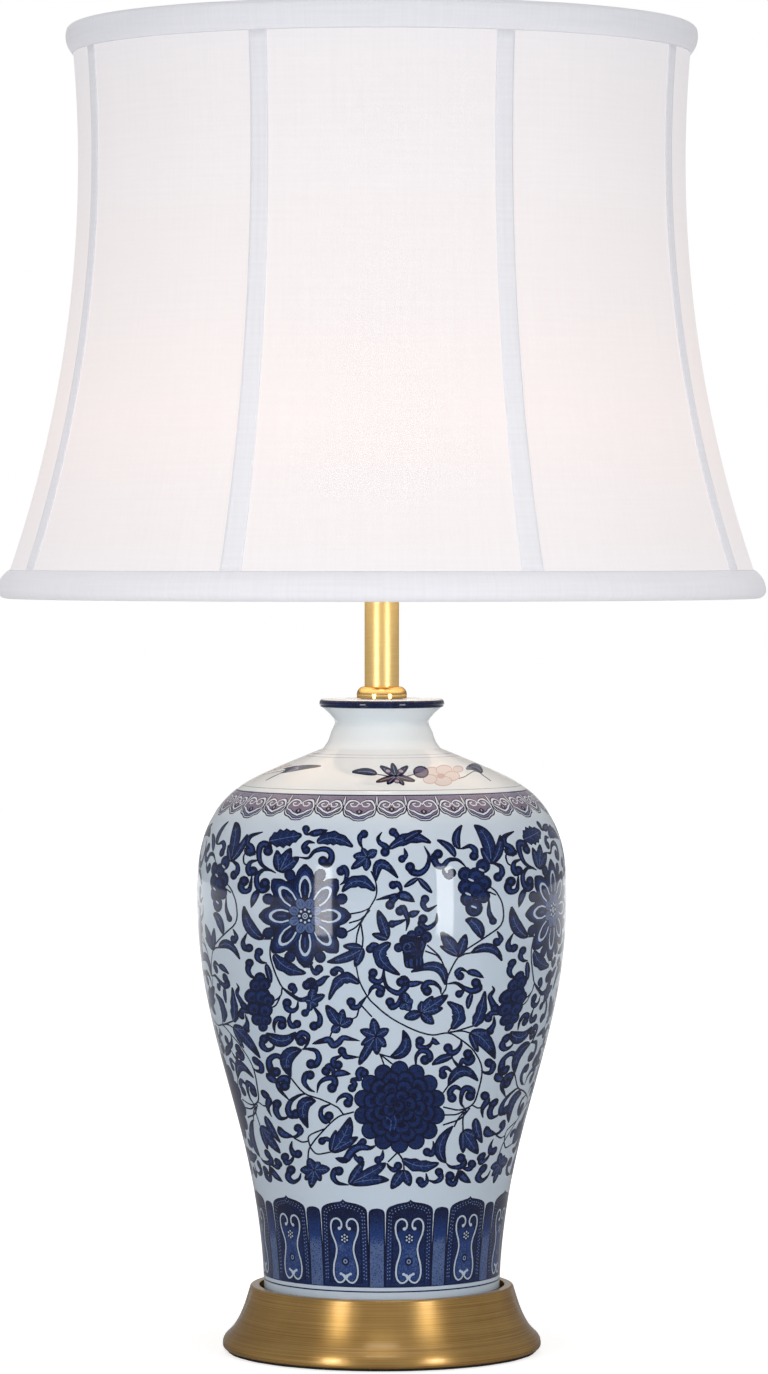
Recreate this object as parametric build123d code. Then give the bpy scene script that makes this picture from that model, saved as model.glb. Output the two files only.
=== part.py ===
from build123d import *
import math
import os

# Porcelain table lamp, in millimetres. The lamp stands on Z = 0 about the Z axis, +Z up,
# with its rear, where the cord comes in, towards +Y.

# Fits
SLIP_FIT = 0.1          # radial clearance of turned pieces fitted into each other
SEAT_GAP = 0.2          # between the faces of pieces that turn on each other
WELD_GAP = 0.1          # between welded wires and what they stand on
CLOTH_GAP = 0.15        # between the cloth layers and the wire that carries them
THREAD_GAP = 0.25       # radial clearance of the large screw threads

# Foot of the lamp
FELT_THICKNESS = 1.5
FELT_INSET = 2.2        # how far the felt stays inside the widest radius
BASE_R = 83.0           # at the lip
BASE_HEIGHT = 33.0      # of the brass shell
BASE_TOP_R = 68.8
BASE_WALL = 2.5
BASE_EDGE_ROUND = 1.2
LIP_RISE = 2.4          # from the lower edge to the widest radius
LIP_ROUND = 2.0
FLANK_SHAPE = [(0.22, 0.25), (0.565, 0.70)]     # shares of height and of radius, lip to top
FLANK_SLOPE = (0.3, 0, -1)      # of the flank at its top, downwards
RECESS_DEPTH = 6.5
RECESS_GAP = 2.5        # around the foot of the vase
GASKET_THICKNESS = 2.0
PLATE_THICKNESS = 1.5
PLATE_GAP = 0.3
WEIGHT_R = 62.0
WEIGHT_THICKNESS = 14.5
WEIGHT_ROUND = 2.0
BOSS_R = 6.0
BOSS_CIRCLE_R = 48.0
BOSS_COUNT = 3
BOSS_ANGLE = 30.0       # of the first boss, so that none is in the way of the cord
PLATE_SCREW_R = 1.9
PLATE_SCREW_HEAD_R = 3.6
PLATE_SCREW_GRIP = 6.0  # length of the screw inside its boss

# Cord inlet
CORD_HEIGHT = 15.0
CORD_BORE_R = 3.5
BUSH_R = 5.0
BUSH_LENGTH = 11.0
BUSH_PROUD = 2.5
BUSH_FLANGE_R = 6.2
BUSH_FLANGE_THICKNESS = 1.2

# Porcelain vase: the rises add up to its height
FOOT_R = 61.5
FOOT_RIM_WIDTH = 9.0
FOOT_RECESS = 3.0
FOOT_CHAMFER = 0.8
BELLY_R = 96.6
BELLY_RISE = 207.0
SHOULDER_RISE = 77.2
NECK_BASE_R = 30.6
NECK_RISE = 13.4
NECK_R = 24.5
MOUTH_RISE = 12.4
MOUTH_R = 32.6
LIP_HEIGHT = 4.2
LIP_UNDERCUT = 0.6      # of the lip's lower edge behind its widest radius
LIP_ROLL = 1.3          # of its upper edge
VASE_WALL = 6.0
VASE_FLOOR = 8.0
MOUTH_THICKNESS = 6.0
INNER_NECK_R = 17.0
ROD_HOLE_GAP = 0.8      # radial, in the porcelain
# Shares of height and of radius along each curve of the vase, from its lower to its upper end
LOWER_SHAPE = [(0.14, 0.05), (0.35, 0.26), (0.56, 0.585), (0.773, 0.88)]
SHOULDER_SHAPE = [(0.45, 0.075), (0.72, 0.307), (0.855, 0.59)]
NECK_SHAPE = [(0.25, 0.4), (0.7, 0.75)]
LIP_SHAPE = [(0.6, 0.45)]
SHOULDER_SLOPE = (-0.93, 0, 0.37)       # direction of the profile where the neck starts
NECK_SLOPE = (-0.6, 0, 0.8)             # of the neck as it leaves the shoulder
LIP_SLOPE = (0.85, 0, 0.5)              # of the neck under the lip
WALL_SHARES = (0.25, 0.4, 0.55, 0.7, 0.8, 0.9, 1.0)     # places on the body that shape its inside

# Rod, collar and stem
ROD_R = 5.0
ROD_BORE_R = 3.5
ROD_STICK_OUT = 0.8     # past the nut
WASHER_R = 12.0
WASHER_THICKNESS = 1.5
NUT_ACROSS = 17.0
NUT_THICKNESS = 4.5
MOUTH_GASKET_R = 11.0
MOUTH_GASKET_THICKNESS = 0.8
COLLAR_R = 13.0
COLLAR_HEIGHT = 6.0
COLLAR_LIP = 1.0
COLLAR_SKIRT = 1.2      # straight part under the dome
COLLAR_SOCKET = 3.0
STEM_R = 9.0
STEM_WALL = 1.2
STEM_LENGTH = 48.8
STEM_FLANGE = 1.5
STEM_SPIGOT = 5.0

# Lampholder for a 27 mm screw cap
HOLDER_R = 19.5
HOLDER_WALL = 1.5
CAP_NECK_R = 11.0
CAP_DOME_RISE = 14.0
CAP_RIM_HEIGHT = 8.0
HUB_R = 8.0
HUB_HEIGHT = 8.0
HUB_FLOOR = 3.0
LOCK_NUT_ACROSS = 14.0
LOCK_NUT_THICKNESS = 3.0
SHELL_OVERLAP = 6.0     # of the shell inside the rim of the cap
SHELL_HEIGHT = 34.0     # above the rim of the cap
FLANGE_RISE = 3.0       # from the rim of the cap to the flange
FLANGE_R = 24.0
FLANGE_THICKNESS = 2.5
LEDGE_THICKNESS = 3.0
LEDGE_WIDTH = 2.0
SHELL_LIP_R = 15.0
SHELL_LIP_THICKNESS = 1.5
CORE_HEIGHT = 11.0
SLEEVE_R = 13.35        # inside radius of the threaded contact
SLEEVE_WALL = 0.5
SLEEVE_HEIGHT = 22.0
CONTACT_WIDTH = 5.0
CONTACT_THICKNESS = 0.5
CONTACT_RISE = 0.6
CONTACT_REACH = 11.0
CONTACT_PAD = 2.5
CORE_SCREW_R = 1.5
CORE_SCREW_HEAD_R = 2.8
CORE_SCREW_HEAD = 2.0
CORE_SCREW_LENGTH = 6.0
CORE_SCREW_CIRCLE_R = 9.0
CORE_SCREW_COUNT = 2
CORE_SCREW_ANGLE = 90.0
CLAMP_FLANGE_R = 27.0
CLAMP_FLANGE_THICKNESS = 2.0
CLAMP_GRIP_R = 23.0
CLAMP_HEIGHT = 8.0
GRIP_NOTCHES = 20
GRIP_NOTCH_R = 0.9

# Bulb
BULB_LENGTH = 75.0
GLOBE_R = 22.5
GLOBE_WALL = 1.0
TIP_R = 4.6
TIP_HEIGHT = 1.5
INSULATOR_R = 11.0
INSULATOR_HEIGHT = 4.0
CAP_R = 13.1
CAP_WALL = 0.6
CAP_HEIGHT = 21.8
NECK_WALL = 1.2
NECK_HEIGHT = 15.0

# Shade: radii of the cover at its two rings, and the bow of its wall between them
SHADE_BOTTOM_R = 196.9
SHADE_TOP_R = 161.7
RING_SPAN = 287.0
BELL_BOW = 16.0
FITTER_DROP = 23.0      # from the fitter ring down to the bottom ring
PANEL_COUNT = 8
ARM_COUNT = 4
COVER_THICKNESS = 0.8
LINING_THICKNESS = 0.5
SEAM_GAP = 0.3
STRIP_WIDTH = 10.0
STRIP_THICKNESS = 0.5
WIRE_R = 1.6
ARM_R = 1.8
ARM_HOLE_GAP = 0.5
FITTER_GAP = 0.8        # radial, round the lampholder
FITTER_R = 30.0
FITTER_THICKNESS = 2.0
TRIM_REACH = 9.5        # of the trim up the cover
TRIM_LINING_REACH = 5.5
TRIM_FOLD = 3.5         # thickness of the padded edge
TRIM_PUFF = 3.0         # how far the trim stands proud of the cover
TRIM_INNER_PUFF = 1.5
TRIM_CROWN = 1.9        # along the wall from the ring to the trim's fullest line
TRIM_SHOULDER = 2.1     # how far the trim stands proud beside the ring
TRIM_INNER_SHOULDER = 0.6

# Heights of the stack
base_bottom = FELT_THICKNESS
base_top = base_bottom + BASE_HEIGHT
recess_floor = base_top - RECESS_DEPTH
cavity_top = recess_floor - BASE_WALL
weight_bottom = cavity_top - WEIGHT_THICKNESS
plate_top = base_bottom + PLATE_THICKNESS
nut_top = weight_bottom - WASHER_THICKNESS
rod_bottom = nut_top - NUT_THICKNESS - ROD_STICK_OUT
vase_bottom = recess_floor + GASKET_THICKNESS
belly_z = vase_bottom + BELLY_RISE
neck_base_z = belly_z + SHOULDER_RISE
neck_z = neck_base_z + NECK_RISE
mouth_z = neck_z + MOUTH_RISE
collar_seat = mouth_z + MOUTH_GASKET_THICKNESS
collar_bottom = mouth_z + SEAT_GAP
collar_top = collar_bottom + COLLAR_HEIGHT
stem_bottom = collar_top - COLLAR_SOCKET
stem_top = stem_bottom + STEM_LENGTH
holder_bottom = stem_top + STEM_FLANGE
cap_rim = holder_bottom + CAP_DOME_RISE + CAP_RIM_HEIGHT
hub_top = holder_bottom + HUB_HEIGHT
rod_top = hub_top + LOCK_NUT_THICKNESS + ROD_STICK_OUT
shell_bottom = cap_rim - SHELL_OVERLAP
shell_top = cap_rim + SHELL_HEIGHT
flange_top = cap_rim + FLANGE_RISE + FLANGE_THICKNESS
core_bottom = shell_bottom + LEDGE_THICKNESS
core_top = core_bottom + CORE_HEIGHT
contact_top = core_top + CONTACT_THICKNESS + CONTACT_RISE
fitter_bottom = flange_top + SEAT_GAP
fitter_top = fitter_bottom + FITTER_THICKNESS
clamp_bottom = fitter_top + SEAT_GAP
tip_bottom = contact_top + SLIP_FIT
insulator_bottom = tip_bottom + TIP_HEIGHT
bulb_cap_bottom = insulator_bottom + INSULATOR_HEIGHT
bulb_neck_bottom = bulb_cap_bottom + CAP_HEIGHT
bulb_neck_top = bulb_neck_bottom + NECK_HEIGHT
globe_z = tip_bottom + BULB_LENGTH - GLOBE_R
bottom_ring_z = fitter_bottom - FITTER_DROP
top_ring_z = bottom_ring_z + RING_SPAN

# Radii that follow from the fits
recess_r = FOOT_R + RECESS_GAP
plate_seat_r = BASE_R - LIP_ROUND - BASE_WALL
rod_bore_r = ROD_R + SLIP_FIT
shell_spigot_r = HOLDER_R - HOLDER_WALL - SLIP_FIT
shell_inner_r = shell_spigot_r - HOLDER_WALL
wire_depth = COVER_THICKNESS + CLOTH_GAP + WIRE_R
lining_depth = wire_depth + WIRE_R + CLOTH_GAP

# Angles of the eight-sided shade: a panel faces the front, and ribs stand at the seams
panel_angle = 360.0 / PANEL_COUNT
rib_angles = [panel_angle * (i + 0.5) for i in range(PANEL_COUNT)]
arm_angles = rib_angles[:: PANEL_COUNT // ARM_COUNT]


def at(r, z):
    """A point of a turned profile."""
    return Vector(r, 0, z)


def turned(*edges, sweep=360.0, start=0.0):
    """A solid turned about the lamp's axis from a closed profile."""
    return Rot(0, 0, start) * revolve(make_face(edges), Axis.Z, sweep)


def tube(outer_r, inner_r, low, high):
    """A plain turned sleeve, washer or disc with a hole."""
    return turned(Polyline(at(inner_r, low), at(outer_r, low), at(outer_r, high), at(inner_r, high),
                           at(inner_r, low)))


def disc(radius, low, high):
    return Pos(0, 0, (low + high) / 2) * Cylinder(radius, high - low)


def hex_nut(across, bore_r, low, thickness):
    blank = RegularPolygon(across / 2, 6, major_radius=False) - Circle(bore_r)
    return Pos(0, 0, low) * extrude(blank, thickness)


def rounded_corner(start, end, corner):
    """A quarter round between two points of a profile, bulging towards their corner."""
    middle = (start + end) / 2
    return ThreePointArc(start, middle + (corner - middle) * (math.sqrt(2) - 1), end)


# Foot of the lamp

def flank_points(inset=0.0):
    """The brass flank, from its lip to the edge of its top."""
    low = base_bottom + LIP_RISE
    high = base_top - BASE_EDGE_ROUND
    shares = [(0.0, 0.0)] + FLANK_SHAPE + [(1.0, 1.0)]
    return [at(BASE_R + r * (BASE_TOP_R - BASE_R) - inset, low + z * (high - low)) for z, r in shares]


def cord_wall_r():
    """Outer radius of the flank at the height of the cord inlet."""
    low, high = flank_points()[1:3]
    share = (CORD_HEIGHT - low.Z) / (high.Z - low.Z)
    return low.X + share * (high.X - low.X)


def along_cord(radius, inner, outer):
    """A cylinder on the axis of the cord inlet, between two distances from the lamp's axis."""
    return Pos(0, (inner + outer) / 2, CORD_HEIGHT) * Rot(90, 0, 0) * Cylinder(radius, outer - inner)


def base_shell():
    flank = flank_points()
    inner = flank_points(BASE_WALL)
    edge = at(BASE_TOP_R - BASE_EDGE_ROUND, base_top)
    foot = at(BASE_R - LIP_ROUND, base_bottom)
    seat = at(plate_seat_r, base_bottom)
    shoulder = at(recess_r + BASE_WALL, cavity_top)
    shell = turned(
        Polyline(at(rod_bore_r, recess_floor), at(recess_r, recess_floor), at(recess_r, base_top), edge),
        rounded_corner(edge, flank[-1], at(BASE_TOP_R, base_top)),
        Spline(*reversed(flank), tangents=[FLANK_SLOPE, (0, 0, -1)]),
        rounded_corner(flank[0], foot, at(BASE_R, base_bottom)),
        Polyline(foot, seat, at(plate_seat_r, plate_top), inner[1]),
        Polyline(inner[1], inner[2], shoulder, at(rod_bore_r, cavity_top), at(rod_bore_r, recess_floor)),
    )
    return shell - along_cord(BUSH_R + SLIP_FIT, cord_wall_r() - BUSH_LENGTH, BASE_R)


def cord_bush():
    outer = cord_wall_r() + BUSH_PROUD
    inner = outer - BUSH_LENGTH
    flange = along_cord(BUSH_FLANGE_R, inner, inner + BUSH_FLANGE_THICKNESS)
    return along_cord(BUSH_R, inner, outer) + flange - along_cord(CORD_BORE_R, inner, outer)


def felt_pad():
    return disc(BASE_R - FELT_INSET, 0, FELT_THICKNESS)


def boss_places(z):
    """Where the plate is screwed on, clear of the cord at the rear."""
    return Pos(0, 0, z) * PolarLocations(BOSS_CIRCLE_R, BOSS_COUNT, start_angle=BOSS_ANGLE)


def screw_solid(place, grow=0.0):
    """A countersunk screw, or its hole when grown, from the lower face of the plate upwards."""
    shank_r = PLATE_SCREW_R + grow
    length = PLATE_THICKNESS + PLATE_SCREW_GRIP
    head = Pos(0, 0, PLATE_THICKNESS / 2) * Cone(PLATE_SCREW_HEAD_R + grow, shank_r, PLATE_THICKNESS)
    return place * (head + Pos(0, 0, length / 2) * Cylinder(shank_r, length))


def base_plate():
    plate = disc(plate_seat_r - PLATE_GAP, base_bottom, plate_top)
    for place in boss_places(base_bottom):
        plate -= screw_solid(place, SLIP_FIT)
    return plate


def base_plate_screws():
    return Compound(children=[screw_solid(place) for place in boss_places(base_bottom)])


def base_weight():
    lower_edge = [at(WEIGHT_R, weight_bottom + WEIGHT_ROUND), at(WEIGHT_R - WEIGHT_ROUND, weight_bottom)]
    weight = turned(
        Polyline(at(rod_bore_r, cavity_top), at(WEIGHT_R, cavity_top), lower_edge[0]),
        rounded_corner(lower_edge[0], lower_edge[1], at(WEIGHT_R, weight_bottom)),
        Polyline(lower_edge[1], at(rod_bore_r, weight_bottom), at(rod_bore_r, cavity_top)),
    )
    boss_height = weight_bottom - plate_top
    for place in boss_places(plate_top + boss_height / 2):
        weight += place * Cylinder(BOSS_R, boss_height)
    for place in boss_places(base_bottom):
        weight -= screw_solid(place, SLIP_FIT)
    return weight


def seat_gasket():
    return tube(FOOT_R - FOOT_CHAMFER, FOOT_R - FOOT_RIM_WIDTH, recess_floor, vase_bottom)


# Porcelain vase

def between(low, high, shares):
    """Points between two ends of a curve, given as shares of its height and of its radius."""
    return [at(low.X + r * (high.X - low.X), low.Z + z * (high.Z - low.Z)) for z, r in shares]


def vase():
    foot = at(FOOT_R, vase_bottom + FOOT_CHAMFER)
    belly = at(BELLY_R, belly_z)
    neck_base = at(NECK_BASE_R, neck_base_z)
    neck = at(NECK_R, neck_z)
    lip_low = at(MOUTH_R - LIP_UNDERCUT, mouth_z - LIP_HEIGHT)
    lip_side = at(MOUTH_R, mouth_z - LIP_HEIGHT / 2)
    lip_top = at(MOUTH_R - LIP_ROLL, mouth_z)
    body_points = ([foot] + between(foot, belly, LOWER_SHAPE) + [belly]
                   + between(belly, neck_base, SHOULDER_SHAPE) + [neck_base])
    body = Spline(*body_points, tangents=[(0, 0, 1), SHOULDER_SLOPE])
    throat_points = ([neck_base] + between(neck_base, neck, NECK_SHAPE) + [neck]
                     + between(neck, lip_low, LIP_SHAPE) + [lip_low])
    throat = Spline(*throat_points, tangents=[NECK_SLOPE, LIP_SLOPE])

    rod_hole_r = ROD_R + ROD_HOLE_GAP
    rim_inner = FOOT_R - FOOT_RIM_WIDTH
    underside = vase_bottom + FOOT_RECESS
    floor = underside + VASE_FLOOR
    ceiling = mouth_z - MOUTH_THICKNESS
    inner_points = [at(FOOT_R - VASE_WALL, floor)]
    for share in WALL_SHARES:
        tangent = body.tangent_at(share)
        inner_points.append(body.position_at(share) + Vector(-tangent.Z, 0, tangent.X) * VASE_WALL)
    return turned(
        Polyline(at(rim_inner, underside), at(rim_inner, vase_bottom),
                 at(FOOT_R - FOOT_CHAMFER, vase_bottom), foot),
        body,
        throat,
        ThreePointArc(lip_low, lip_side, lip_top),
        Polyline(lip_top, at(rod_hole_r, mouth_z), at(rod_hole_r, ceiling), at(INNER_NECK_R, ceiling),
                 at(INNER_NECK_R, neck_base_z), inner_points[-1]),
        Spline(*reversed(inner_points)),
        Polyline(inner_points[0], at(rod_hole_r, floor), at(rod_hole_r, underside),
                 at(rim_inner, underside)),
    )


# Rod, collar and stem

def centre_rod():
    return tube(ROD_R, ROD_BORE_R, rod_bottom, rod_top)


def rod_washer():
    return tube(WASHER_R, rod_bore_r, nut_top, weight_bottom)


def rod_nut():
    return hex_nut(NUT_ACROSS, rod_bore_r, nut_top - NUT_THICKNESS, NUT_THICKNESS)


def mouth_gasket():
    return tube(MOUTH_GASKET_R, ROD_R + ROD_HOLE_GAP, mouth_z, collar_seat)


def collar():
    pocket_r = MOUTH_GASKET_R + SLIP_FIT
    socket_r = STEM_R + SLIP_FIT
    crown = at(socket_r + COLLAR_LIP, collar_top)
    skirt = at(COLLAR_R, collar_bottom + COLLAR_SKIRT)
    return turned(
        Polyline(at(rod_bore_r, collar_seat), at(pocket_r, collar_seat), at(pocket_r, collar_bottom),
                 at(COLLAR_R, collar_bottom), skirt),
        rounded_corner(skirt, crown, at(COLLAR_R, collar_top)),
        Polyline(crown, at(socket_r, collar_top), at(socket_r, stem_bottom), at(rod_bore_r, stem_bottom),
                 at(rod_bore_r, collar_seat)),
    )


def stem_tube():
    return tube(STEM_R, STEM_R - STEM_WALL, stem_bottom, stem_top)


def stem_bush():
    spigot_r = STEM_R - STEM_WALL - SLIP_FIT
    spigot = tube(spigot_r, rod_bore_r, stem_top - STEM_SPIGOT, stem_top)
    return spigot + tube(STEM_R, rod_bore_r, stem_top, holder_bottom)


# Lampholder

def lampholder_cap():
    dome_top = holder_bottom + CAP_DOME_RISE
    inner_r = HOLDER_R - HOLDER_WALL
    return turned(
        Line(at(rod_bore_r, holder_bottom), at(CAP_NECK_R, holder_bottom)),
        rounded_corner(at(CAP_NECK_R, holder_bottom), at(HOLDER_R, dome_top),
                       at(HOLDER_R, holder_bottom)),
        Polyline(at(HOLDER_R, dome_top), at(HOLDER_R, cap_rim), at(inner_r, cap_rim),
                 at(inner_r, dome_top)),
        rounded_corner(at(inner_r, dome_top), at(HUB_R, holder_bottom + HUB_FLOOR),
                       at(inner_r, holder_bottom + HUB_FLOOR)),
        Polyline(at(HUB_R, holder_bottom + HUB_FLOOR), at(HUB_R, hub_top), at(rod_bore_r, hub_top),
                 at(rod_bore_r, holder_bottom)),
    )


def cap_lock_nut():
    return hex_nut(LOCK_NUT_ACROSS, rod_bore_r, hub_top, LOCK_NUT_THICKNESS)


def lampholder_shell():
    flange_bottom = flange_top - FLANGE_THICKNESS
    lip_bottom = shell_top - SHELL_LIP_THICKNESS
    bore_r = HOLDER_R - HOLDER_WALL
    ledge_r = shell_inner_r - LEDGE_WIDTH
    return turned(Polyline(
        at(ledge_r, shell_bottom), at(shell_spigot_r, shell_bottom), at(shell_spigot_r, cap_rim),
        at(HOLDER_R, cap_rim), at(HOLDER_R, flange_bottom), at(FLANGE_R, flange_bottom),
        at(FLANGE_R, flange_top), at(HOLDER_R, flange_top), at(HOLDER_R, shell_top),
        at(SHELL_LIP_R, shell_top), at(SHELL_LIP_R, lip_bottom), at(bore_r, lip_bottom),
        at(bore_r, core_top), at(shell_inner_r, core_top), at(shell_inner_r, core_bottom),
        at(ledge_r, core_bottom), at(ledge_r, shell_bottom),
    ))


def core_screw_places(z):
    return Pos(0, 0, z) * PolarLocations(CORE_SCREW_CIRCLE_R, CORE_SCREW_COUNT, start_angle=CORE_SCREW_ANGLE)


def lampholder_core():
    core = disc(shell_inner_r - SLIP_FIT, core_bottom, core_top)
    for place in core_screw_places(core_bottom + CORE_SCREW_LENGTH / 2):
        core -= place * Cylinder(CORE_SCREW_R + SLIP_FIT, CORE_SCREW_LENGTH)
    return core


def core_screws():
    head = Pos(0, 0, -CORE_SCREW_HEAD / 2) * Cylinder(CORE_SCREW_HEAD_R, CORE_SCREW_HEAD)
    shank_length = CORE_SCREW_LENGTH - SLIP_FIT
    screw = head + Pos(0, 0, shank_length / 2) * Cylinder(CORE_SCREW_R, shank_length)
    return Compound(children=[place * screw for place in core_screw_places(core_bottom)])


def contact_sleeve():
    return tube(SLEEVE_R + SLEEVE_WALL, SLEEVE_R, core_top, core_top + SLEEVE_HEIGHT)


def centre_contact():
    """A springy strip that lies on the core and rises under the middle of the bulb."""
    lower = core_top
    raised = lower + CONTACT_RISE
    bend = CONTACT_PAD + CONTACT_RISE * 3
    top = CONTACT_THICKNESS
    strip = make_face(Polyline(
        at(-CONTACT_REACH, lower), at(-bend, lower), at(-CONTACT_PAD, raised), at(CONTACT_PAD, raised),
        at(CONTACT_PAD, raised + top), at(-CONTACT_PAD, raised + top), at(-bend, lower + top),
        at(-CONTACT_REACH, lower + top), at(-CONTACT_REACH, lower),
    ))
    return extrude(strip, CONTACT_WIDTH / 2, dir=(0, 1, 0), both=True)


def shade_clamp_ring():
    bore_r = HOLDER_R + THREAD_GAP
    flange_edge = clamp_bottom + CLAMP_FLANGE_THICKNESS
    ring = turned(Polyline(
        at(bore_r, clamp_bottom), at(CLAMP_FLANGE_R, clamp_bottom), at(CLAMP_FLANGE_R, flange_edge),
        at(CLAMP_GRIP_R, flange_edge), at(CLAMP_GRIP_R, clamp_bottom + CLAMP_HEIGHT),
        at(bore_r, clamp_bottom + CLAMP_HEIGHT), at(bore_r, clamp_bottom),
    ))
    grip_height = CLAMP_HEIGHT - CLAMP_FLANGE_THICKNESS
    grip_middle = Pos(0, 0, flange_edge + grip_height / 2)
    for place in PolarLocations(CLAMP_GRIP_R, GRIP_NOTCHES):
        ring -= grip_middle * place * Cylinder(GRIP_NOTCH_R, grip_height)
    return ring


# Bulb

def bulb_contact():
    shoulder = at(TIP_R, tip_bottom + TIP_HEIGHT / 2)
    foot = at(TIP_R - TIP_HEIGHT / 2, tip_bottom)
    return turned(
        Line(at(0, tip_bottom), foot),
        rounded_corner(foot, shoulder, at(TIP_R, tip_bottom)),
        Polyline(shoulder, at(TIP_R, insulator_bottom), at(0, insulator_bottom), at(0, tip_bottom)),
    )


def bulb_insulator():
    return turned(Polyline(
        at(0, insulator_bottom), at(TIP_R, insulator_bottom), at(INSULATOR_R, bulb_cap_bottom),
        at(0, bulb_cap_bottom), at(0, insulator_bottom),
    ))


def bulb_cap():
    low = bulb_cap_bottom
    high = bulb_neck_bottom
    slope = CAP_R - INSULATOR_R
    inner_r = CAP_R - CAP_WALL
    return turned(Polyline(
        at(0, low), at(INSULATOR_R, low), at(CAP_R, low + slope), at(CAP_R, high), at(inner_r, high),
        at(inner_r, low + slope + CAP_WALL), at(INSULATOR_R - CAP_WALL, low + CAP_WALL),
        at(0, low + CAP_WALL), at(0, low),
    ))


def globe_edge_r(radius):
    """Radius of the globe's opening, where the neck meets it."""
    return math.sqrt(radius ** 2 - (bulb_neck_top - globe_z) ** 2)


def bulb_neck():
    low = bulb_neck_bottom
    wide = globe_edge_r(GLOBE_R)
    waist = at((CAP_R + wide - NECK_WALL) / 2, (low + bulb_neck_top) / 2)
    outer = [at(CAP_R, low), waist, at(wide, bulb_neck_top)]
    inner = [point - Vector(NECK_WALL, 0, 0) for point in outer]
    return turned(ThreePointArc(*outer), Line(outer[2], inner[2]), ThreePointArc(*reversed(inner)),
                  Line(inner[0], outer[0]))


def bulb_globe():
    inner_r = GLOBE_R - GLOBE_WALL
    lower = at(globe_edge_r(GLOBE_R), bulb_neck_top)
    lower_inner = at(globe_edge_r(inner_r), bulb_neck_top)
    lean = math.sqrt(0.5)
    return turned(
        ThreePointArc(lower, at(GLOBE_R * lean, globe_z + GLOBE_R * lean), at(0, globe_z + GLOBE_R)),
        Line(at(0, globe_z + GLOBE_R), at(0, globe_z + inner_r)),
        ThreePointArc(at(0, globe_z + inner_r), at(inner_r * lean, globe_z + inner_r * lean),
                      lower_inner),
        Line(lower_inner, lower),
    )


# Shade: every layer of its wall is an arc about one centre outside the shade

chord_length = math.hypot(RING_SPAN, SHADE_BOTTOM_R - SHADE_TOP_R)
bell_radius = (chord_length ** 2 / 4 + BELL_BOW ** 2) / (2 * BELL_BOW)
bell_reach = bell_radius - BELL_BOW
bell_r = (SHADE_BOTTOM_R + SHADE_TOP_R) / 2 + bell_reach * RING_SPAN / chord_length
bell_z = (bottom_ring_z + top_ring_z) / 2 + bell_reach * (SHADE_BOTTOM_R - SHADE_TOP_R) / chord_length
bottom_turn = math.atan2(bottom_ring_z - bell_z, bell_r - SHADE_BOTTOM_R)
top_turn = math.atan2(top_ring_z - bell_z, bell_r - SHADE_TOP_R)


def bell(turn, depth):
    """A point of the wall, at an angle about its centre and a depth below the cover's face."""
    radius = bell_radius + depth
    return at(bell_r - radius * math.cos(turn), bell_z + radius * math.sin(turn))


def bell_arc(low, high, depth):
    return ThreePointArc(bell(low, depth), bell((low + high) / 2, depth), bell(high, depth))


def bell_layer(outer, inner, from_rings, sweep=360.0, start=0.0):
    """A layer of the wall between two depths, stopping a length short of both rings."""
    low = bottom_turn + from_rings / bell_radius
    high = top_turn - from_rings / bell_radius
    return turned(
        bell_arc(low, high, outer), Line(bell(high, outer), bell(high, inner)),
        bell_arc(high, low, inner), Line(bell(low, inner), bell(low, outer)),
        sweep=sweep, start=start,
    )


def wire_ring(turn):
    centre = bell(turn, wire_depth)
    return Pos(0, 0, centre.Z) * Torus(centre.X, WIRE_R)


def rib(angle):
    clear = (WIRE_R + WELD_GAP) / bell_radius
    path = bell_arc(bottom_turn + clear, top_turn - clear, wire_depth)
    return Rot(0, 0, angle) * sweep(Plane(path @ 0, z_dir=path % 0) * Circle(WIRE_R), path)


def fitter_ring():
    return tube(FITTER_R, HOLDER_R + FITTER_GAP, fitter_bottom, fitter_top)


def arm_cylinder(radius):
    """A wire from the edge of the fitter ring to the ribs, along +X."""
    z = (fitter_bottom + fitter_top) / 2
    turn = math.asin((z - bell_z) / (bell_radius + wire_depth))
    reach = bell_r - (bell_radius + wire_depth) * math.cos(turn)
    end = reach - WIRE_R / math.cos(turn) - ARM_R * math.tan(-turn) - WELD_GAP
    start = FITTER_R + WELD_GAP
    return Pos((start + end) / 2, 0, z) * Rot(0, 90, 0) * Cylinder(radius, end - start)


def fitter_arms():
    return Compound(children=[Rot(0, 0, angle) * arm_cylinder(ARM_R) for angle in arm_angles])


def cover_panel(index):
    seam = math.degrees(SEAM_GAP / (SHADE_BOTTOM_R + SHADE_TOP_R))
    start = panel_angle * (index - 0.5) + seam
    return bell_layer(0, COVER_THICKNESS, -WIRE_R, panel_angle - 2 * seam, start)


def rib_strips():
    width = math.degrees(2 * STRIP_WIDTH / (SHADE_BOTTOM_R + SHADE_TOP_R))
    outer = -CLOTH_GAP - STRIP_THICKNESS
    short = TRIM_REACH + CLOTH_GAP
    return Compound(children=[
        bell_layer(outer, -CLOTH_GAP, short, width, angle - width / 2) for angle in rib_angles
    ])


def lining():
    layer = bell_layer(lining_depth, lining_depth + LINING_THICKNESS, -WIRE_R)
    for angle in arm_angles:
        layer -= Rot(0, 0, angle) * arm_cylinder(ARM_R + ARM_HOLE_GAP)
    return layer


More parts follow.
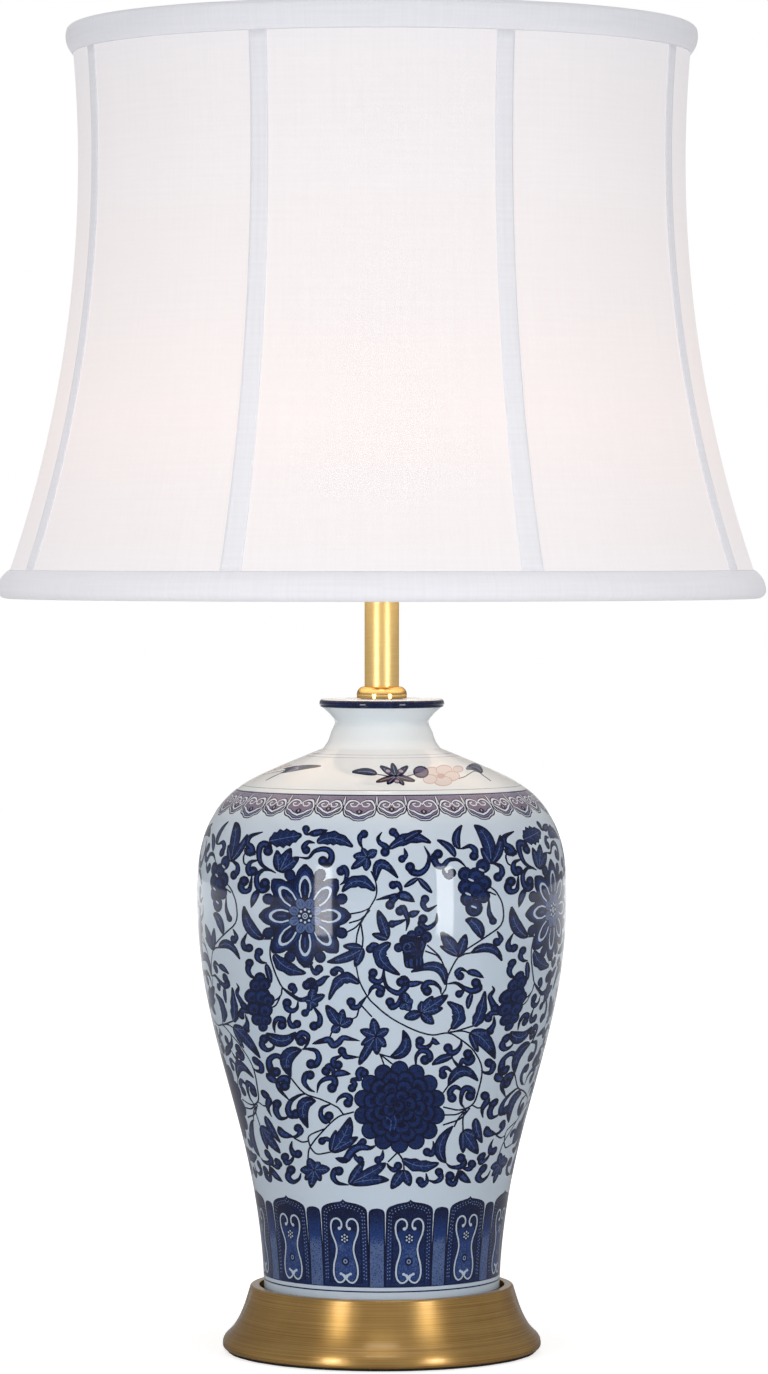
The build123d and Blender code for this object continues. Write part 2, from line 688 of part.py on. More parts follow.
def padded_trim(turn, inward):
    """A padded cloth edge folded round a ring; inward is the way along the wall, +1 up or -1 down."""
    outside = wire_depth + CLOTH_GAP
    inside = lining_depth + LINING_THICKNESS + CLOTH_GAP - wire_depth
    floor = -WIRE_R - CLOTH_GAP
    edge = floor - TRIM_FOLD

    def local(out, along):
        return bell(turn + inward * along / bell_radius, wire_depth - out)

    upper = local(outside, TRIM_REACH)
    crown = local(outside + TRIM_PUFF, TRIM_CROWN)
    shoulder = local(outside + TRIM_SHOULDER, floor - TRIM_FOLD / 2)
    inner_shoulder = local(-inside - TRIM_INNER_SHOULDER, floor - TRIM_FOLD / 2)
    inner_crown = local(-inside - TRIM_INNER_PUFF, 0)
    inner_upper = local(-inside, TRIM_LINING_REACH)
    return turned(
        ThreePointArc(upper, crown, shoulder),
        ThreePointArc(shoulder, local(0, edge), inner_shoulder),
        ThreePointArc(inner_shoulder, inner_crown, inner_upper),
        Polyline(inner_upper, local(-inside, floor), local(outside, floor), upper),
    )


nodes = {
    "felt_pad": felt_pad(),
    "base_plate": base_plate(),
    "base_plate_screws": base_plate_screws(),
    "base_weight": base_weight(),
    "base_shell": base_shell(),
    "cord_bush": cord_bush(),
    "seat_gasket": seat_gasket(),
    "vase": vase(),
    "centre_rod": centre_rod(),
    "rod_washer": rod_washer(),
    "rod_nut": rod_nut(),
    "mouth_gasket": mouth_gasket(),
    "collar": collar(),
    "stem_tube": stem_tube(),
    "stem_bush": stem_bush(),
    "lampholder_cap": lampholder_cap(),
    "cap_lock_nut": cap_lock_nut(),
    "lampholder_core": lampholder_core(),
    "core_screws": core_screws(),
    "contact_sleeve": contact_sleeve(),
    "centre_contact": centre_contact(),
    "lampholder_shell": lampholder_shell(),
    "shade_clamp_ring": shade_clamp_ring(),
    "bulb_contact": bulb_contact(),
    "bulb_insulator": bulb_insulator(),
    "bulb_cap": bulb_cap(),
    "bulb_neck": bulb_neck(),
    "bulb_globe": bulb_globe(),
    "fitter_ring": fitter_ring(),
    "fitter_arms": fitter_arms(),
    "top_ring": wire_ring(top_turn),
    "bottom_ring": wire_ring(bottom_turn),
    "rib_strips": rib_strips(),
    "lining": lining(),
    "top_trim": padded_trim(top_turn, -1),
    "bottom_trim": padded_trim(bottom_turn, 1),
}
for number, rib_angle in enumerate(rib_angles, start=1):
    nodes[f"rib_{number}"] = rib(rib_angle)
    nodes[f"cover_panel_{number}"] = cover_panel(number)

os.makedirs("parts", exist_ok=True)
for name, solid in nodes.items():
    export_step(solid, f"parts/{name}.step")
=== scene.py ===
"""Looks of a porcelain table lamp: painted vase, brass foot and stem, lit cloth shade.

Lengths are in metres in the lamp's own frame, with +Z up its axis and -Y towards the front.
The painting is laid out as it is seen from the front, in picture steps, and wrapped onto the vase.
"""

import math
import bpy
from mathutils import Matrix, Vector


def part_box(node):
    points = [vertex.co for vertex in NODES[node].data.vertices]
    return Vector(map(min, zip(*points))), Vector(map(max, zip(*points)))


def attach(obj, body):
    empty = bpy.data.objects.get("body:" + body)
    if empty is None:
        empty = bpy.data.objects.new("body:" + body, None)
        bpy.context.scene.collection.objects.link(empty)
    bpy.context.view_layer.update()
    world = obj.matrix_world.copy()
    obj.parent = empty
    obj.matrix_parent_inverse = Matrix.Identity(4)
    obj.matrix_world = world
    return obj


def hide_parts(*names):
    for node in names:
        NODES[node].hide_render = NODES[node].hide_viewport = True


bl_info = {
    "name": "Porcelain Table Lamp",
    "version": (1, 0, 0),
    "blender": (4, 5, 0),
    "location": "View3D > Sidebar > Lamp",
    "description": "Dresses the solids of a table lamp with glaze, brass, wire and stretched cloth",
    "category": "Add Mesh",
}

import bpy
import bmesh
import numpy as np
from bpy.props import FloatProperty, FloatVectorProperty, IntProperty, PointerProperty
from mathutils import Vector
from mathutils.bvhtree import BVHTree
from mathutils.geometry import delaunay_2d_cdt

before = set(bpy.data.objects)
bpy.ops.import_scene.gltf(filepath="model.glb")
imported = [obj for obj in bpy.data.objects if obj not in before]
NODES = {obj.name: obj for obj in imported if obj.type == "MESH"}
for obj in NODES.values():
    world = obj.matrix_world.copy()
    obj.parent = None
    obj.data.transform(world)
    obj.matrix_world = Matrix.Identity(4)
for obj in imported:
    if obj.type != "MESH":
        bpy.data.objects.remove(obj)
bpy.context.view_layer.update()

PICTURE_WIDTH = 768
PICTURE_HEIGHT = 1374
SENSOR_HEIGHT = 36.0    # millimetres
WHITE = (1.0, 1.0, 1.0, 1.0)

PANEL_COUNT = 8
PANEL_ANGLE = 360 / PANEL_COUNT
RIBS = [f"rib_{number + 1}" for number in range(PANEL_COUNT)]
PANELS = [f"cover_panel_{number + 1}" for number in range(PANEL_COUNT)]
WALL_ROWS = 60          # steps of the cloth from the bottom ring to the top ring
SEAM_GAP = 0.00015      # at either side of a panel
TRIM_REACH = 0.0095     # of the padded edges up the wall


def linear(red, green, blue):
    """A colour in the eight-bit numbers of a colour chart, turned into scene colour."""
    shares = [value / 255 for value in (red, green, blue)]
    return tuple(c / 12.92 if c <= 0.04045 else ((c + 0.055) / 1.055) ** 2.4 for c in shares)


def colour_property(name, description, chart):
    return FloatVectorProperty(name=name, description=description, subtype="COLOR", size=3,
                               min=0.0, max=1.0, default=linear(*chart))


def length_property(name, description, default):
    return FloatProperty(name=name, description=description, default=default, unit="LENGTH", precision=4)


def number_property(name, description, default):
    return FloatProperty(name=name, description=description, default=default)


def count_property(name, description, default):
    return IntProperty(name=name, description=description, default=default)


class LampStage(bpy.types.PropertyGroup):
    """Camera and light."""
    camera_distance: length_property("Camera distance", "From the lamp's axis to the camera", 2.975)
    camera_height: length_property("Camera height", "Of the lens above the table", 0.4201)
    lens: number_property("Lens", "Focal length on the camera's sensor, in millimetres", 149.3)
    axis_column: number_property("Axis column", "Picture column of the lamp's axis", 381.8)
    horizon_row: number_property("Horizon row", "Picture row of the camera's height", 545.0)
    left_power: number_property("Left strip", "Power of the left strip light, in watts", 4.0)
    right_power: number_property("Right strip", "Power of the right strip light, in watts", 3.7)
    top_power: number_property("Top light", "Power of the overhead softbox, in watts", 4.0)
    glow_power: number_property("Glow", "Power of the light below the shade, in watts", 0.12)
    room_level: number_property("Room level", "Brightness of the room's soft light", 0.38)
    backdrop: number_property("Backdrop", "Brightness of the white background", 1.0)


class LampFinishes(bpy.types.PropertyGroup):
    """Colours of the materials."""
    glaze: colour_property("Glaze", "White glaze of the porcelain", (226, 233, 238))
    # Darker and bluer below the shoulder than the white above it
    glaze_low: colour_property("Body glaze", "Bluer glaze below the shoulder", (205, 217, 230))
    cobalt_pale: colour_property("Pale cobalt", "Thin cobalt wash", (128, 149, 184))
    # Painted warm light and reflection of the shade, mixed into thin paint above the body's edge
    shoulder_lamp_light: colour_property("Painted shoulder light", "Painted warm shade light on thin paint above the body's edge", (190, 158, 150))
    cobalt: colour_property("Cobalt", "Full cobalt wash", (28, 56, 116))
    cobalt_deep: colour_property("Deep cobalt", "Outlines and pooled cobalt", (2, 9, 42))
    brass: colour_property("Antique brass", "Brushed foot", (220, 180, 108))
    brass_dark: colour_property("Brass shade", "Darker lines of the brushed brass", (168, 124, 60))
    stem: colour_property("Satin brass", "Stem", (220, 188, 128))
    polished: colour_property("Polished brass", "Collar", (255, 222, 146))
    cloth: colour_property("Cover cloth", "Cloth of the shade's panels", (172, 170, 171))
    trim: colour_property("Trim cloth", "Seam strips and padded edges", (208, 209, 213))
    glow_far: colour_property("Far glow", "Light through the cloth far from the bulb", (235, 232, 236))
    trim_near: colour_property("Near trim glow", "Light through folded cloth near the bulb", (221, 217, 223))
    trim_far: colour_property("Far trim glow", "Light through folded cloth far from it", (198, 198, 205))
    lining: colour_property("Lining", "Cloth inside the shade", (240, 236, 228))
    glow: colour_property("Glow", "Light of the bulb through the cloth", (255, 243, 240))
    felt: colour_property("Felt", "Pad under the foot", (34, 32, 31))


class LampCloth(bpy.types.PropertyGroup):
    """Sizes of the shade's wall and cloth."""
    bottom_radius: length_property("Bottom radius", "Of the cover at the bottom ring", 0.1969)
    top_radius: length_property("Top radius", "Of the cover at the top ring", 0.1617)
    ring_span: length_property("Ring span", "Between the two rings", 0.287)
    bow: length_property("Bow", "How far the wall curves in", 0.016)
    fitter_drop: length_property("Fitter drop", "From the fitter ring to the bottom ring", 0.023)
    cover_thickness: length_property("Cover thickness", "Of the cover cloth", 0.0008)
    wire_radius: length_property("Wire radius", "Of the rings and ribs", 0.0016)
    cloth_gap: length_property("Cloth gap", "Between cloth and wire", 0.00015)
    strip_width: length_property("Strip width", "Of the strips over the seams", 0.010)
    strip_thickness: length_property("Strip thickness", "Of the folded strips", 0.0005)
    lining_thickness: length_property("Lining thickness", "Of the lining cloth", 0.0005)
    thread_pitch: length_property("Thread pitch", "Between neighbouring threads", 0.0006)


class LampPainting(bpy.types.PropertyGroup):
    """Layout of the painted bands."""
    field_repeats: count_property("Scroll repeats", "Repeats of the lotus scroll", 4)
    spray_repeats: count_property("Spray repeats", "Sprays on the shoulder", 3)
    ruyi_count: count_property("Large heads", "Large heads in the shoulder border", 16)
    lappet_count: count_property("Lappets", "Petal panels above the foot", 12)
    field_start: number_property("Scroll start", "Angle where a repeat starts, in degrees", -47.0)
    ruyi_angle: number_property("Head angle", "Angle of one large head, in degrees", -7.8)
    lappet_angle: number_property("Lappet angle", "Angle of one lappet, in degrees", 12.7)


# Node trees

def feed(tree, socket, value):
    """Sets an input, or links another node's output to it."""
    if isinstance(value, bpy.types.NodeSocket):
        tree.links.new(value, socket)
    else:
        socket.default_value = value


def add_node(tree, kind, inputs=None, **settings):
    """Adds a node with its settings, and its inputs by name or number."""
    node = tree.nodes.new(kind)
    for key, value in settings.items():
        setattr(node, key, value)
    for key, value in (inputs or {}).items():
        feed(tree, node.inputs[key], value)
    return node


def calc(tree, operation, first, second=0.0, third=0.0):
    inputs = {0: first, 1: second, 2: third}
    return add_node(tree, "ShaderNodeMath", inputs, operation=operation).outputs[0]


def noise(tree, vector, scale, detail=2.0):
    inputs = {"Vector": vector, "Scale": scale, "Detail": detail}
    return add_node(tree, "ShaderNodeTexNoise", inputs).outputs[0]


def mixed(tree, factor, first, second, blend="MIX"):
    """Two colours mixed by a factor."""
    node = add_node(tree, "ShaderNodeMix", data_type="RGBA", blend_type=blend)
    for index, value in ((0, factor), (6, first), (7, second)):
        feed(tree, node.inputs[index], opaque(value))
    return node.outputs[2]


def opaque(colour):
    """A three-part colour with full alpha; sockets and numbers pass through."""
    if isinstance(colour, (bpy.types.NodeSocket, float, int)):
        return colour
    return (*colour[:3], 1.0)


def ramp(tree, factor, *stops):
    """A colour ramp; each stop is a place and a colour."""
    node = add_node(tree, "ShaderNodeValToRGB", {0: factor})
    elements = node.color_ramp.elements
    while len(elements) < len(stops):
        elements.new(1.0)
    for element, (place, colour) in zip(elements, stops):
        element.position = place
        element.color = opaque(colour)
    return node.outputs[0]


def span(tree, value, low, high, to_low, to_high):
    """Maps a value from one range to another, held at the ends."""
    inputs = {0: value, 1: low, 2: high, 3: to_low, 4: to_high}
    return add_node(tree, "ShaderNodeMapRange", inputs).outputs[0]


def raised(tree, height, strength, distance):
    """A normal from a height map."""
    inputs = {"Height": height, "Strength": strength, "Distance": distance}
    return add_node(tree, "ShaderNodeBump", inputs).outputs[0]


def place_in(tree, kind="Object"):
    return add_node(tree, "ShaderNodeTexCoord").outputs[kind]


def parts_of(tree, vector):
    return add_node(tree, "ShaderNodeSeparateXYZ", {0: vector}).outputs


def new_group(name, inputs, *outputs):
    """An empty node group, from the names and kinds of its inputs and the names of its outputs."""
    tree = bpy.data.node_groups.new(name, "ShaderNodeTree")
    for label, kind in inputs.items():
        tree.interface.new_socket(label, in_out="INPUT", socket_type=f"NodeSocket{kind}")
    for label in outputs:
        tree.interface.new_socket(label, in_out="OUTPUT", socket_type="NodeSocketFloat")
    return tree, tree.nodes.new("NodeGroupInput").outputs, tree.nodes.new("NodeGroupOutput").inputs


def use_group(tree, name, build, **inputs):
    """Adds a node with a shared group, which is built when it is first used."""
    node = tree.nodes.new("ShaderNodeGroup")
    node.node_tree = bpy.data.node_groups.get(name) or build(name)
    for key, value in inputs.items():
        feed(tree, node.inputs[key], value)
    return node.outputs


def weave_group(name):
    """Plain weave on cloth coordinates in metres, with slubs in the threads."""
    tree, enter, leave = new_group(name, {"Cloth": "Vector", "Threads": "Float"}, "Height", "Slub")
    scaled = add_node(tree, "ShaderNodeVectorMath", {0: enter["Cloth"]}, operation="SCALE")
    feed(tree, scaled.inputs["Scale"], enter["Threads"])
    parts = parts_of(tree, scaled.outputs[0])
    warp, weft = (calc(tree, "SINE", calc(tree, "MULTIPLY", part, math.pi)) for part in parts[:2])
    crossing = calc(tree, "MULTIPLY", warp, weft)
    slubs = []
    for along, across in ((0.03, 0.9), (0.9, 0.03)):
        stretched = add_node(tree, "ShaderNodeCombineXYZ", {
            0: calc(tree, "MULTIPLY", parts[0], along),
            1: calc(tree, "MULTIPLY", parts[1], across)})
        slubs.append(noise(tree, stretched.outputs[0], 0.35))
    slub = calc(tree, "MULTIPLY", calc(tree, "ADD", *slubs), 0.5)
    feed(tree, leave["Height"], calc(tree, "MULTIPLY_ADD", crossing, 0.5, slub))
    feed(tree, leave["Slub"], slub)
    return tree


def turned_group(name):
    """Fine lines left round a turned piece by its brushing, and soft patches."""
    tree, enter, leave = new_group(name, {"Lines": "Float"}, "Lines", "Patches")
    parts = parts_of(tree, place_in(tree))
    squares = [calc(tree, "MULTIPLY", part, part) for part in parts[:2]]
    radius = calc(tree, "SQRT", calc(tree, "ADD", *squares))
    turn = calc(tree, "ARCTAN2", parts[1], parts[0])
    across = add_node(tree, "ShaderNodeCombineXYZ", {
        0: calc(tree, "MULTIPLY", radius, enter["Lines"]),
        1: calc(tree, "MULTIPLY", parts[2], enter["Lines"]),
        2: calc(tree, "MULTIPLY", turn, 0.7)}).outputs[0]
    feed(tree, leave["Lines"], noise(tree, across, 1.0, 3.0))
    feed(tree, leave["Patches"], noise(tree, place_in(tree), 45.0, 3.0))
    return tree


def grain_group(name):
    """Fine grain and coarse blotches, for mouldings, castings and felt."""
    tree, enter, leave = new_group(name, {"Scale": "Float"}, "Grain", "Blotch")
    where = place_in(tree)
    feed(tree, leave["Grain"], noise(tree, where, enter["Scale"], 4.0))
    coarse = calc(tree, "MULTIPLY", enter["Scale"], 0.08)
    feed(tree, leave["Blotch"], noise(tree, where, coarse, 3.0))
    return tree


def new_material(name, **constants):
    """A material with its main shader, whose plain values are set on the shader itself."""
    material = bpy.data.materials.new(name)
    material.use_nodes = True
    tree = material.node_tree
    shader = tree.nodes["Principled BSDF"]
    for key, value in constants.items():
        socket = shader.inputs[key.replace("_", " ")]
        socket.default_value = opaque(value) if isinstance(value, tuple) else value
    return material, tree, shader


def shade_with(tree, shader, **links):
    """Links what changes over the surface to the shader."""
    for key, value in links.items():
        tree.links.new(value, shader.inputs[key.replace("_", " ")])


# Materials

def grainy_material(name, colour, second, scale, roughness, bump, metallic=0.0):
    """A moulded, cast or pressed surface with grain in its colour, gloss and relief."""
    material, tree, shader = new_material(name, Metallic=metallic)
    grain = use_group(tree, "Surface grain", grain_group, Scale=scale)
    low, high = roughness
    shade_with(
        tree, shader,
        Base_Color=mixed(tree, grain["Blotch"], colour, second),
        Roughness=span(tree, grain["Grain"], 0.3, 0.7, low, high),
        Normal=raised(tree, grain["Grain"], bump, 0.0003))
    return material


def turned_material(name, colour, second, roughness, lines, edge, brushed=0.0, relief=0.08,
                    lacquer=0.3):
    """Metal that was brushed or polished round the lamp's axis, under clear lacquer."""
    material, tree, shader = new_material(
        name, Metallic=1.0, Specular_Tint=edge, Anisotropic=brushed, Anisotropic_Rotation=0.25,
        Coat_Weight=lacquer, Coat_Roughness=0.16)
    if brushed:
        round_axis = add_node(tree, "ShaderNodeTangent", direction_type="RADIAL", axis="Z")
        tree.links.new(round_axis.outputs[0], shader.inputs["Tangent"])
    marks = use_group(tree, "Turned lines", turned_group, Lines=lines)
    mottled = calc(tree, "MULTIPLY_ADD", marks["Patches"], 0.35, marks["Lines"])
    low, high = roughness
    shade_with(
        tree, shader,
        Base_Color=mixed(tree, span(tree, mottled, 0.45, 0.9, 0.0, 1.0), second, colour),
        Roughness=span(tree, mottled, 0.4, 0.95, low, high),
        Normal=raised(tree, marks["Lines"], relief, 0.0002))
    return material


def cloth_material(name, colour, glow, far, level, threads, bump, reach_down=0.20):
    """Woven cloth with the bulb's light coming through it, weaker above and below the bulb."""
    reach_up = 0.20
    low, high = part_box("bulb_globe")
    bulb = (low.z + high.z) / 2
    material, tree, shader = new_material(name, Emission_Strength=level, Sheen_Weight=0.15,
                                          Specular_IOR_Level=0.2)
    weave = use_group(tree, "Plain weave", weave_group, Cloth=place_in(tree, "UV"), Threads=threads)
    tint = span(tree, weave["Slub"], 0.3, 0.7, 0.94, 1.0)
    shadowed = tuple(c * 0.93 for c in colour)
    height = parts_of(tree, place_in(tree))["Z"]
    above = span(tree, height, bulb, bulb + reach_up, 1.0, 0.0)
    below = span(tree, height, bulb - reach_down, bulb, 0.0, 1.0)
    lit = calc(tree, "MULTIPLY", calc(tree, "MINIMUM", above, below), tint)
    shade_with(
        tree, shader,
        Base_Color=mixed(tree, span(tree, weave["Slub"], 0.35, 0.65, 0.0, 1.0), shadowed, colour),
        Roughness=span(tree, weave["Slub"], 0.3, 0.7, 0.75, 0.95),
        Emission_Color=mixed(tree, lit, far, glow),
        Normal=raised(tree, weave["Height"], bump, 0.0002))
    return material


def porcelain_material(finishes, wash_low, wash_high, shoulder_low, shoulder_high):
    """White glaze over cobalt, whose strength is painted on the faces.

    Middle tones deepen between two heights, as they do up to the tops of the lappets. The white
    turns from darker and bluish to brighter between the two heights of the shoulder's edge, and
    thin paint above it is greyer and warmer, from a painted warm light and reflection of the shade.
    """
    material, tree, shader = new_material("Painted porcelain", Specular_IOR_Level=0.32)
    laid = add_node(tree, "ShaderNodeAttribute", attribute_name="cobalt").outputs["Fac"]
    where = place_in(tree)
    height = parts_of(tree, where)["Z"]
    rise = span(tree, height, wash_low, wash_high, 0.0, 1.0)
    below = span(tree, height, wash_high + 0.006, wash_high + 0.007, 1.0, 0.0)
    middle = span(tree, laid, 0.38, 0.44, 0.0, 1.0)
    deepen = calc(tree, "MULTIPLY", calc(tree, "MULTIPLY", rise, below), middle)
    lacking = calc(tree, "SUBTRACT", 0.95, laid)
    tone = calc(tree, "MULTIPLY_ADD", deepen, lacking, laid)
    wash = calc(tree, "SUBTRACT", noise(tree, where, 1500.0, 3.0), 0.5)
    pooled = calc(tree, "SUBTRACT", noise(tree, where, 160.0), 0.5)
    mottle = calc(tree, "MULTIPLY_ADD", wash, 1.2, calc(tree, "MULTIPLY", pooled, 0.4))
    strength = calc(tree, "MULTIPLY_ADD", calc(tree, "MULTIPLY", tone, mottle), 0.6, tone)
    # Darker and bluer white below the shoulder's edge, brighter white above it
    above = span(tree, height, shoulder_low, shoulder_high, 0.0, 1.0)
    glaze = mixed(tree, above, finishes.glaze_low, finishes.glaze)
    cloudy = mixed(tree, 1.0, glaze, (0.90, 0.95, 0.98), "MULTIPLY")
    ground = mixed(tree, noise(tree, where, 22.0), glaze, cloudy)
    painted = ramp(tree, strength, (0.0, finishes.cobalt_pale), (0.22, finishes.cobalt_pale),
                   (0.62, finishes.cobalt), (1.0, finishes.cobalt_deep))
    # Thin paint above the shoulder's edge is mixed with a painted warm light and reflection of the shade
    shoulder = span(tree, height, shoulder_low, (shoulder_low + shoulder_high) / 2, 0.0, 1.0)
    pale = span(tree, laid, 0.16, 0.5, 1.0, 0.3)
    shallow = span(tree, laid, 0.6, 0.8, 1.0, 0.0)
    thin = calc(tree, "MULTIPLY", shoulder, calc(tree, "MULTIPLY", pale, shallow))
    painted = mixed(tree, thin, painted, finishes.shoulder_lamp_light)
    covered = span(tree, strength, 0.0, 0.24, 0.0, 1.0)
    shade_with(
        tree, shader,
        Base_Color=mixed(tree, covered, ground, painted),
        Roughness=span(tree, noise(tree, where, 60.0), 0.3, 0.7, 0.04, 0.08),
        Normal=raised(tree, noise(tree, where, 70.0), 0.02, 0.0006))
    return material


def glowing_material(finishes):
    """Opal glass of the burning bulb, a little uneven."""
    material, tree, shader = new_material("Lit opal glass", Emission_Strength=10.0, Roughness=0.25)
    uneven = noise(tree, place_in(tree), 30.0)
    shade_with(
        tree, shader,
        Base_Color=mixed(tree, uneven, (0.9, 0.88, 0.84), (0.95, 0.93, 0.9)),
        Emission_Color=mixed(tree, uneven, finishes.glow, (1.0, 0.9, 0.76)))
    return material


# Pieces

def add_object(name, data):
    thing = bpy.data.objects.new(name, data)
    bpy.context.scene.collection.objects.link(thing)
    return thing


def add_piece(name, mesh, material, body, slot, *stood_for):
    """Adds a mesh as a piece that rides on a body and stands for solids of the lamp."""
    piece = add_object(name, mesh)
    mesh.materials.append(material)
    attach(piece, body)
    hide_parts(*stood_for)
    return piece


def dress(material, *names):
    """Gives solids of the lamp a material."""
    for name in names:
        mesh = NODES[name].data
        mesh.materials.clear()
        mesh.materials.append(material)


def round_points(angles, radii, heights):
    """Points from arrays of angles, radii and heights, with the angle zero at the front."""
    parts = np.broadcast_arrays(radii * np.sin(angles), -radii * np.cos(angles), heights)
    return np.stack(parts, axis=-1)


def paired(first, second):
    """Two arrays, spread over each other, as pairs of numbers."""
    return np.stack(np.broadcast_arrays(first, second), axis=-1)


def run_along(line):
    """How far each point of a line is from its start, along the line."""
    steps = np.linalg.norm(np.diff(line, axis=0), axis=1)
    return np.concatenate([[0.0], np.cumsum(steps)])


def grid_quads(rows, columns, round_axis, first=0):
    """Faces between the points of a grid, as rows of four corners."""
    corner = first + np.arange(rows * columns).reshape(rows, columns)
    right = np.roll(corner, -1, axis=1)
    quads = np.stack([corner[:-1], right[:-1], right[1:], corner[1:]], axis=2)
    return (quads if round_axis else quads[:, :-1]).reshape(-1, 4)


def cloth_mesh(name, points, quads, places):
    """A smooth mesh with a cloth coordinate, in metres, on each corner of its faces."""
    mesh = bpy.data.meshes.new(name)
    mesh.from_pydata(points.reshape(-1, 3).tolist(), [], quads.tolist())
    mesh.uv_layers.new(name="Cloth").data.foreach_set("uv", places.ravel())
    mesh.polygons.foreach_set("use_smooth", [True] * len(mesh.polygons))
    return mesh


def rim_quads(edge, round_axis, flip, count):
    """Faces from the edge of a grid to the same edge of the grid that follows it."""
    after = np.roll(edge, -1)
    quads = np.stack([edge, after, after + count, edge + count], axis=1)
    quads = quads if round_axis else quads[:-1]
    return quads[:, ::-1] if flip else quads


def sheet_mesh(name, outer, inner, cloth_place, round_axis):
    """A closed thin sheet between two equal grids of points, with cloth coordinates in metres."""
    rows, columns = outer.shape[:2]
    count = rows * columns
    front = grid_quads(rows, columns, round_axis)
    corner = np.arange(count).reshape(rows, columns)
    quads = [front, front[:, ::-1] + count,
             rim_quads(corner[0], round_axis, True, count),
             rim_quads(corner[-1], round_axis, False, count)]
    if not round_axis:
        quads.append(rim_quads(corner[:, 0], False, False, count))
        quads.append(rim_quads(corner[:, -1], False, True, count))
    quads = np.vstack(quads)
    places = np.vstack([cloth_place.reshape(-1, 2)] * 2)[quads]
    if round_axis:
        wide = cloth_place[0, -1, 0] * columns / (columns - 1)
        behind = places[:, :, 0].max(axis=1, keepdims=True) - places[:, :, 0] > wide / 2
        places[:, :, 0] += wide * behind
    return cloth_mesh(name, np.concatenate([outer, inner]), quads, places)


def arc_points(start, middle, end, count):
    """Points on the arc through three points of a profile."""
    (ax, ay), (bx, by), (cx, cy) = start, middle, end
    d = 2 * (ax * (by - cy) + bx * (cy - ay) + cx * (ay - by))
    a2, b2, c2 = ax * ax + ay * ay, bx * bx + by * by, cx * cx + cy * cy
    ox = (a2 * (by - cy) + b2 * (cy - ay) + c2 * (ay - by)) / d
    oy = (a2 * (cx - bx) + b2 * (ax - cx) + c2 * (bx - ax)) / d
    first, mid, last = (math.atan2(y - oy, x - ox) for x, y in (start, middle, end))
    way = (last - first) % math.tau
    if (mid - first) % math.tau > way:
        way -= math.tau
    turns = first + way * np.linspace(0, 1, count)
    radius = math.hypot(ax - ox, ay - oy)
    return np.column_stack([ox + radius * np.cos(turns), oy + radius * np.sin(turns)])


# Shade

class BellWall:
    """The shade's wall: every layer is an arc about one centre outside the shade."""

    def __init__(self, cloth):
        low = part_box("fitter_ring")[0].z - cloth.fitter_drop
        lean = cloth.bottom_radius - cloth.top_radius
        chord = math.hypot(cloth.ring_span, lean)
        self.radius = (chord ** 2 / 4 + cloth.bow ** 2) / (2 * cloth.bow)
        reach = self.radius - cloth.bow
        self.centre_r = (cloth.bottom_radius + cloth.top_radius) / 2 + reach * cloth.ring_span / chord
        self.centre_z = low + cloth.ring_span / 2 + reach * lean / chord
        self.bottom = math.atan2(low - self.centre_z, self.centre_r - cloth.bottom_radius)
        self.top = math.atan2(low + cloth.ring_span - self.centre_z, self.centre_r - cloth.top_radius)
        self.length = (self.top - self.bottom) * self.radius
        self.wire_depth = cloth.cover_thickness + cloth.cloth_gap + cloth.wire_radius
        self.lining_depth = self.wire_depth + cloth.wire_radius + cloth.cloth_gap

    def at(self, along, depth):
        """Radius and height of the wall, a length up from the bottom ring and a depth below the cover."""
        turn = self.bottom + np.asarray(along) / self.radius
        reach = self.radius + depth
        return self.centre_r - reach * np.cos(turn), self.centre_z + reach * np.sin(turn)

    def layer(self, name, along, angles, outer, inner, round_axis=False):
        """A closed layer of the wall between two depths, with its flat size and its area."""
        grids = []
        for depth in (outer, inner):
            depth = np.broadcast_to(depth, (len(along), len(angles)))
            radii, heights = self.at(along[:, None], depth)
            grids.append(round_points(angles, radii, heights))
        radii = self.at(along, 0.0)[0]
        across = (angles - angles[0]) * radii.mean()
        mesh = sheet_mesh(name, *grids, paired(across, along[:, None]), round_axis)
        turn = math.tau if round_axis else angles[-1] - angles[0]
        flat = (turn * radii.max(), along[-1] - along[0])
        area = float(np.trapz(radii * turn, along))
        return mesh, flat, area


def smooth_noise(values, seed):
    """A soft repeatable wave along a row of values, between about -1 and 1."""
    return (np.sin(values + seed) + 0.6 * np.sin(values * 2.3 + 2.1 * seed)
            + 0.4 * np.sin(values * 4.1 + 3.7 * seed)) / 2.0


# Painting on the vase

TILE_RADIUS = 90.0      # at which the vase is unrolled, in millimetres
OUTLINE_SLACK = 0.1     # of the cut outlines, in millimetres
LONGEST_EDGE = 5.0      # of a cut outline, in millimetres
WELD_GAP = 6e-6         # between points that become one, in metres
MM = 1000               # millimetres in a metre
VASE_COLUMNS = 192
ROW_TURN = 9            # of the profile from row to row, in degrees
SHARP_TURN = 15         # from which the profile has a corner, in degrees
SHARP_EDGE = 40         # from which an edge isn't smoothed, in degrees
RING_GAP = 2e-4         # between rings of the profile
WALL_SLACK = 4e-4       # between a ring and the wall that is felt beside it
FEELER_ANGLE = 0.4      # round the vase, of the rays that feel its wall
INNER_STEP = 4e-4       # between the heights at which the inside is felt
INNER_ROW = 0.012       # between rows of its mesh
INNER_JUMP = 0.002      # of its radius at a ledge
OUTER_MAP = 0.72        # share of the flat map that the painted outside takes up
INNER_MAP = (0.74, 0.24)                # start and share of the inside on it
FRONT_SCALE = 0.978     # of a picture step at the vase's front, nearer than the axis
CURVE_STEPS = 4         # between two points of a curve
STEM_WIDTH = 1.7
LEAF_EDGE = 1.9         # by which a leaf's dark edge is wider than the leaf
LEAF_WASH = 1.8         # by which its washed middle is narrower
VEINED_WIDTH = 8        # from which a leaf has veins
CURL_WIDTH = 7.6
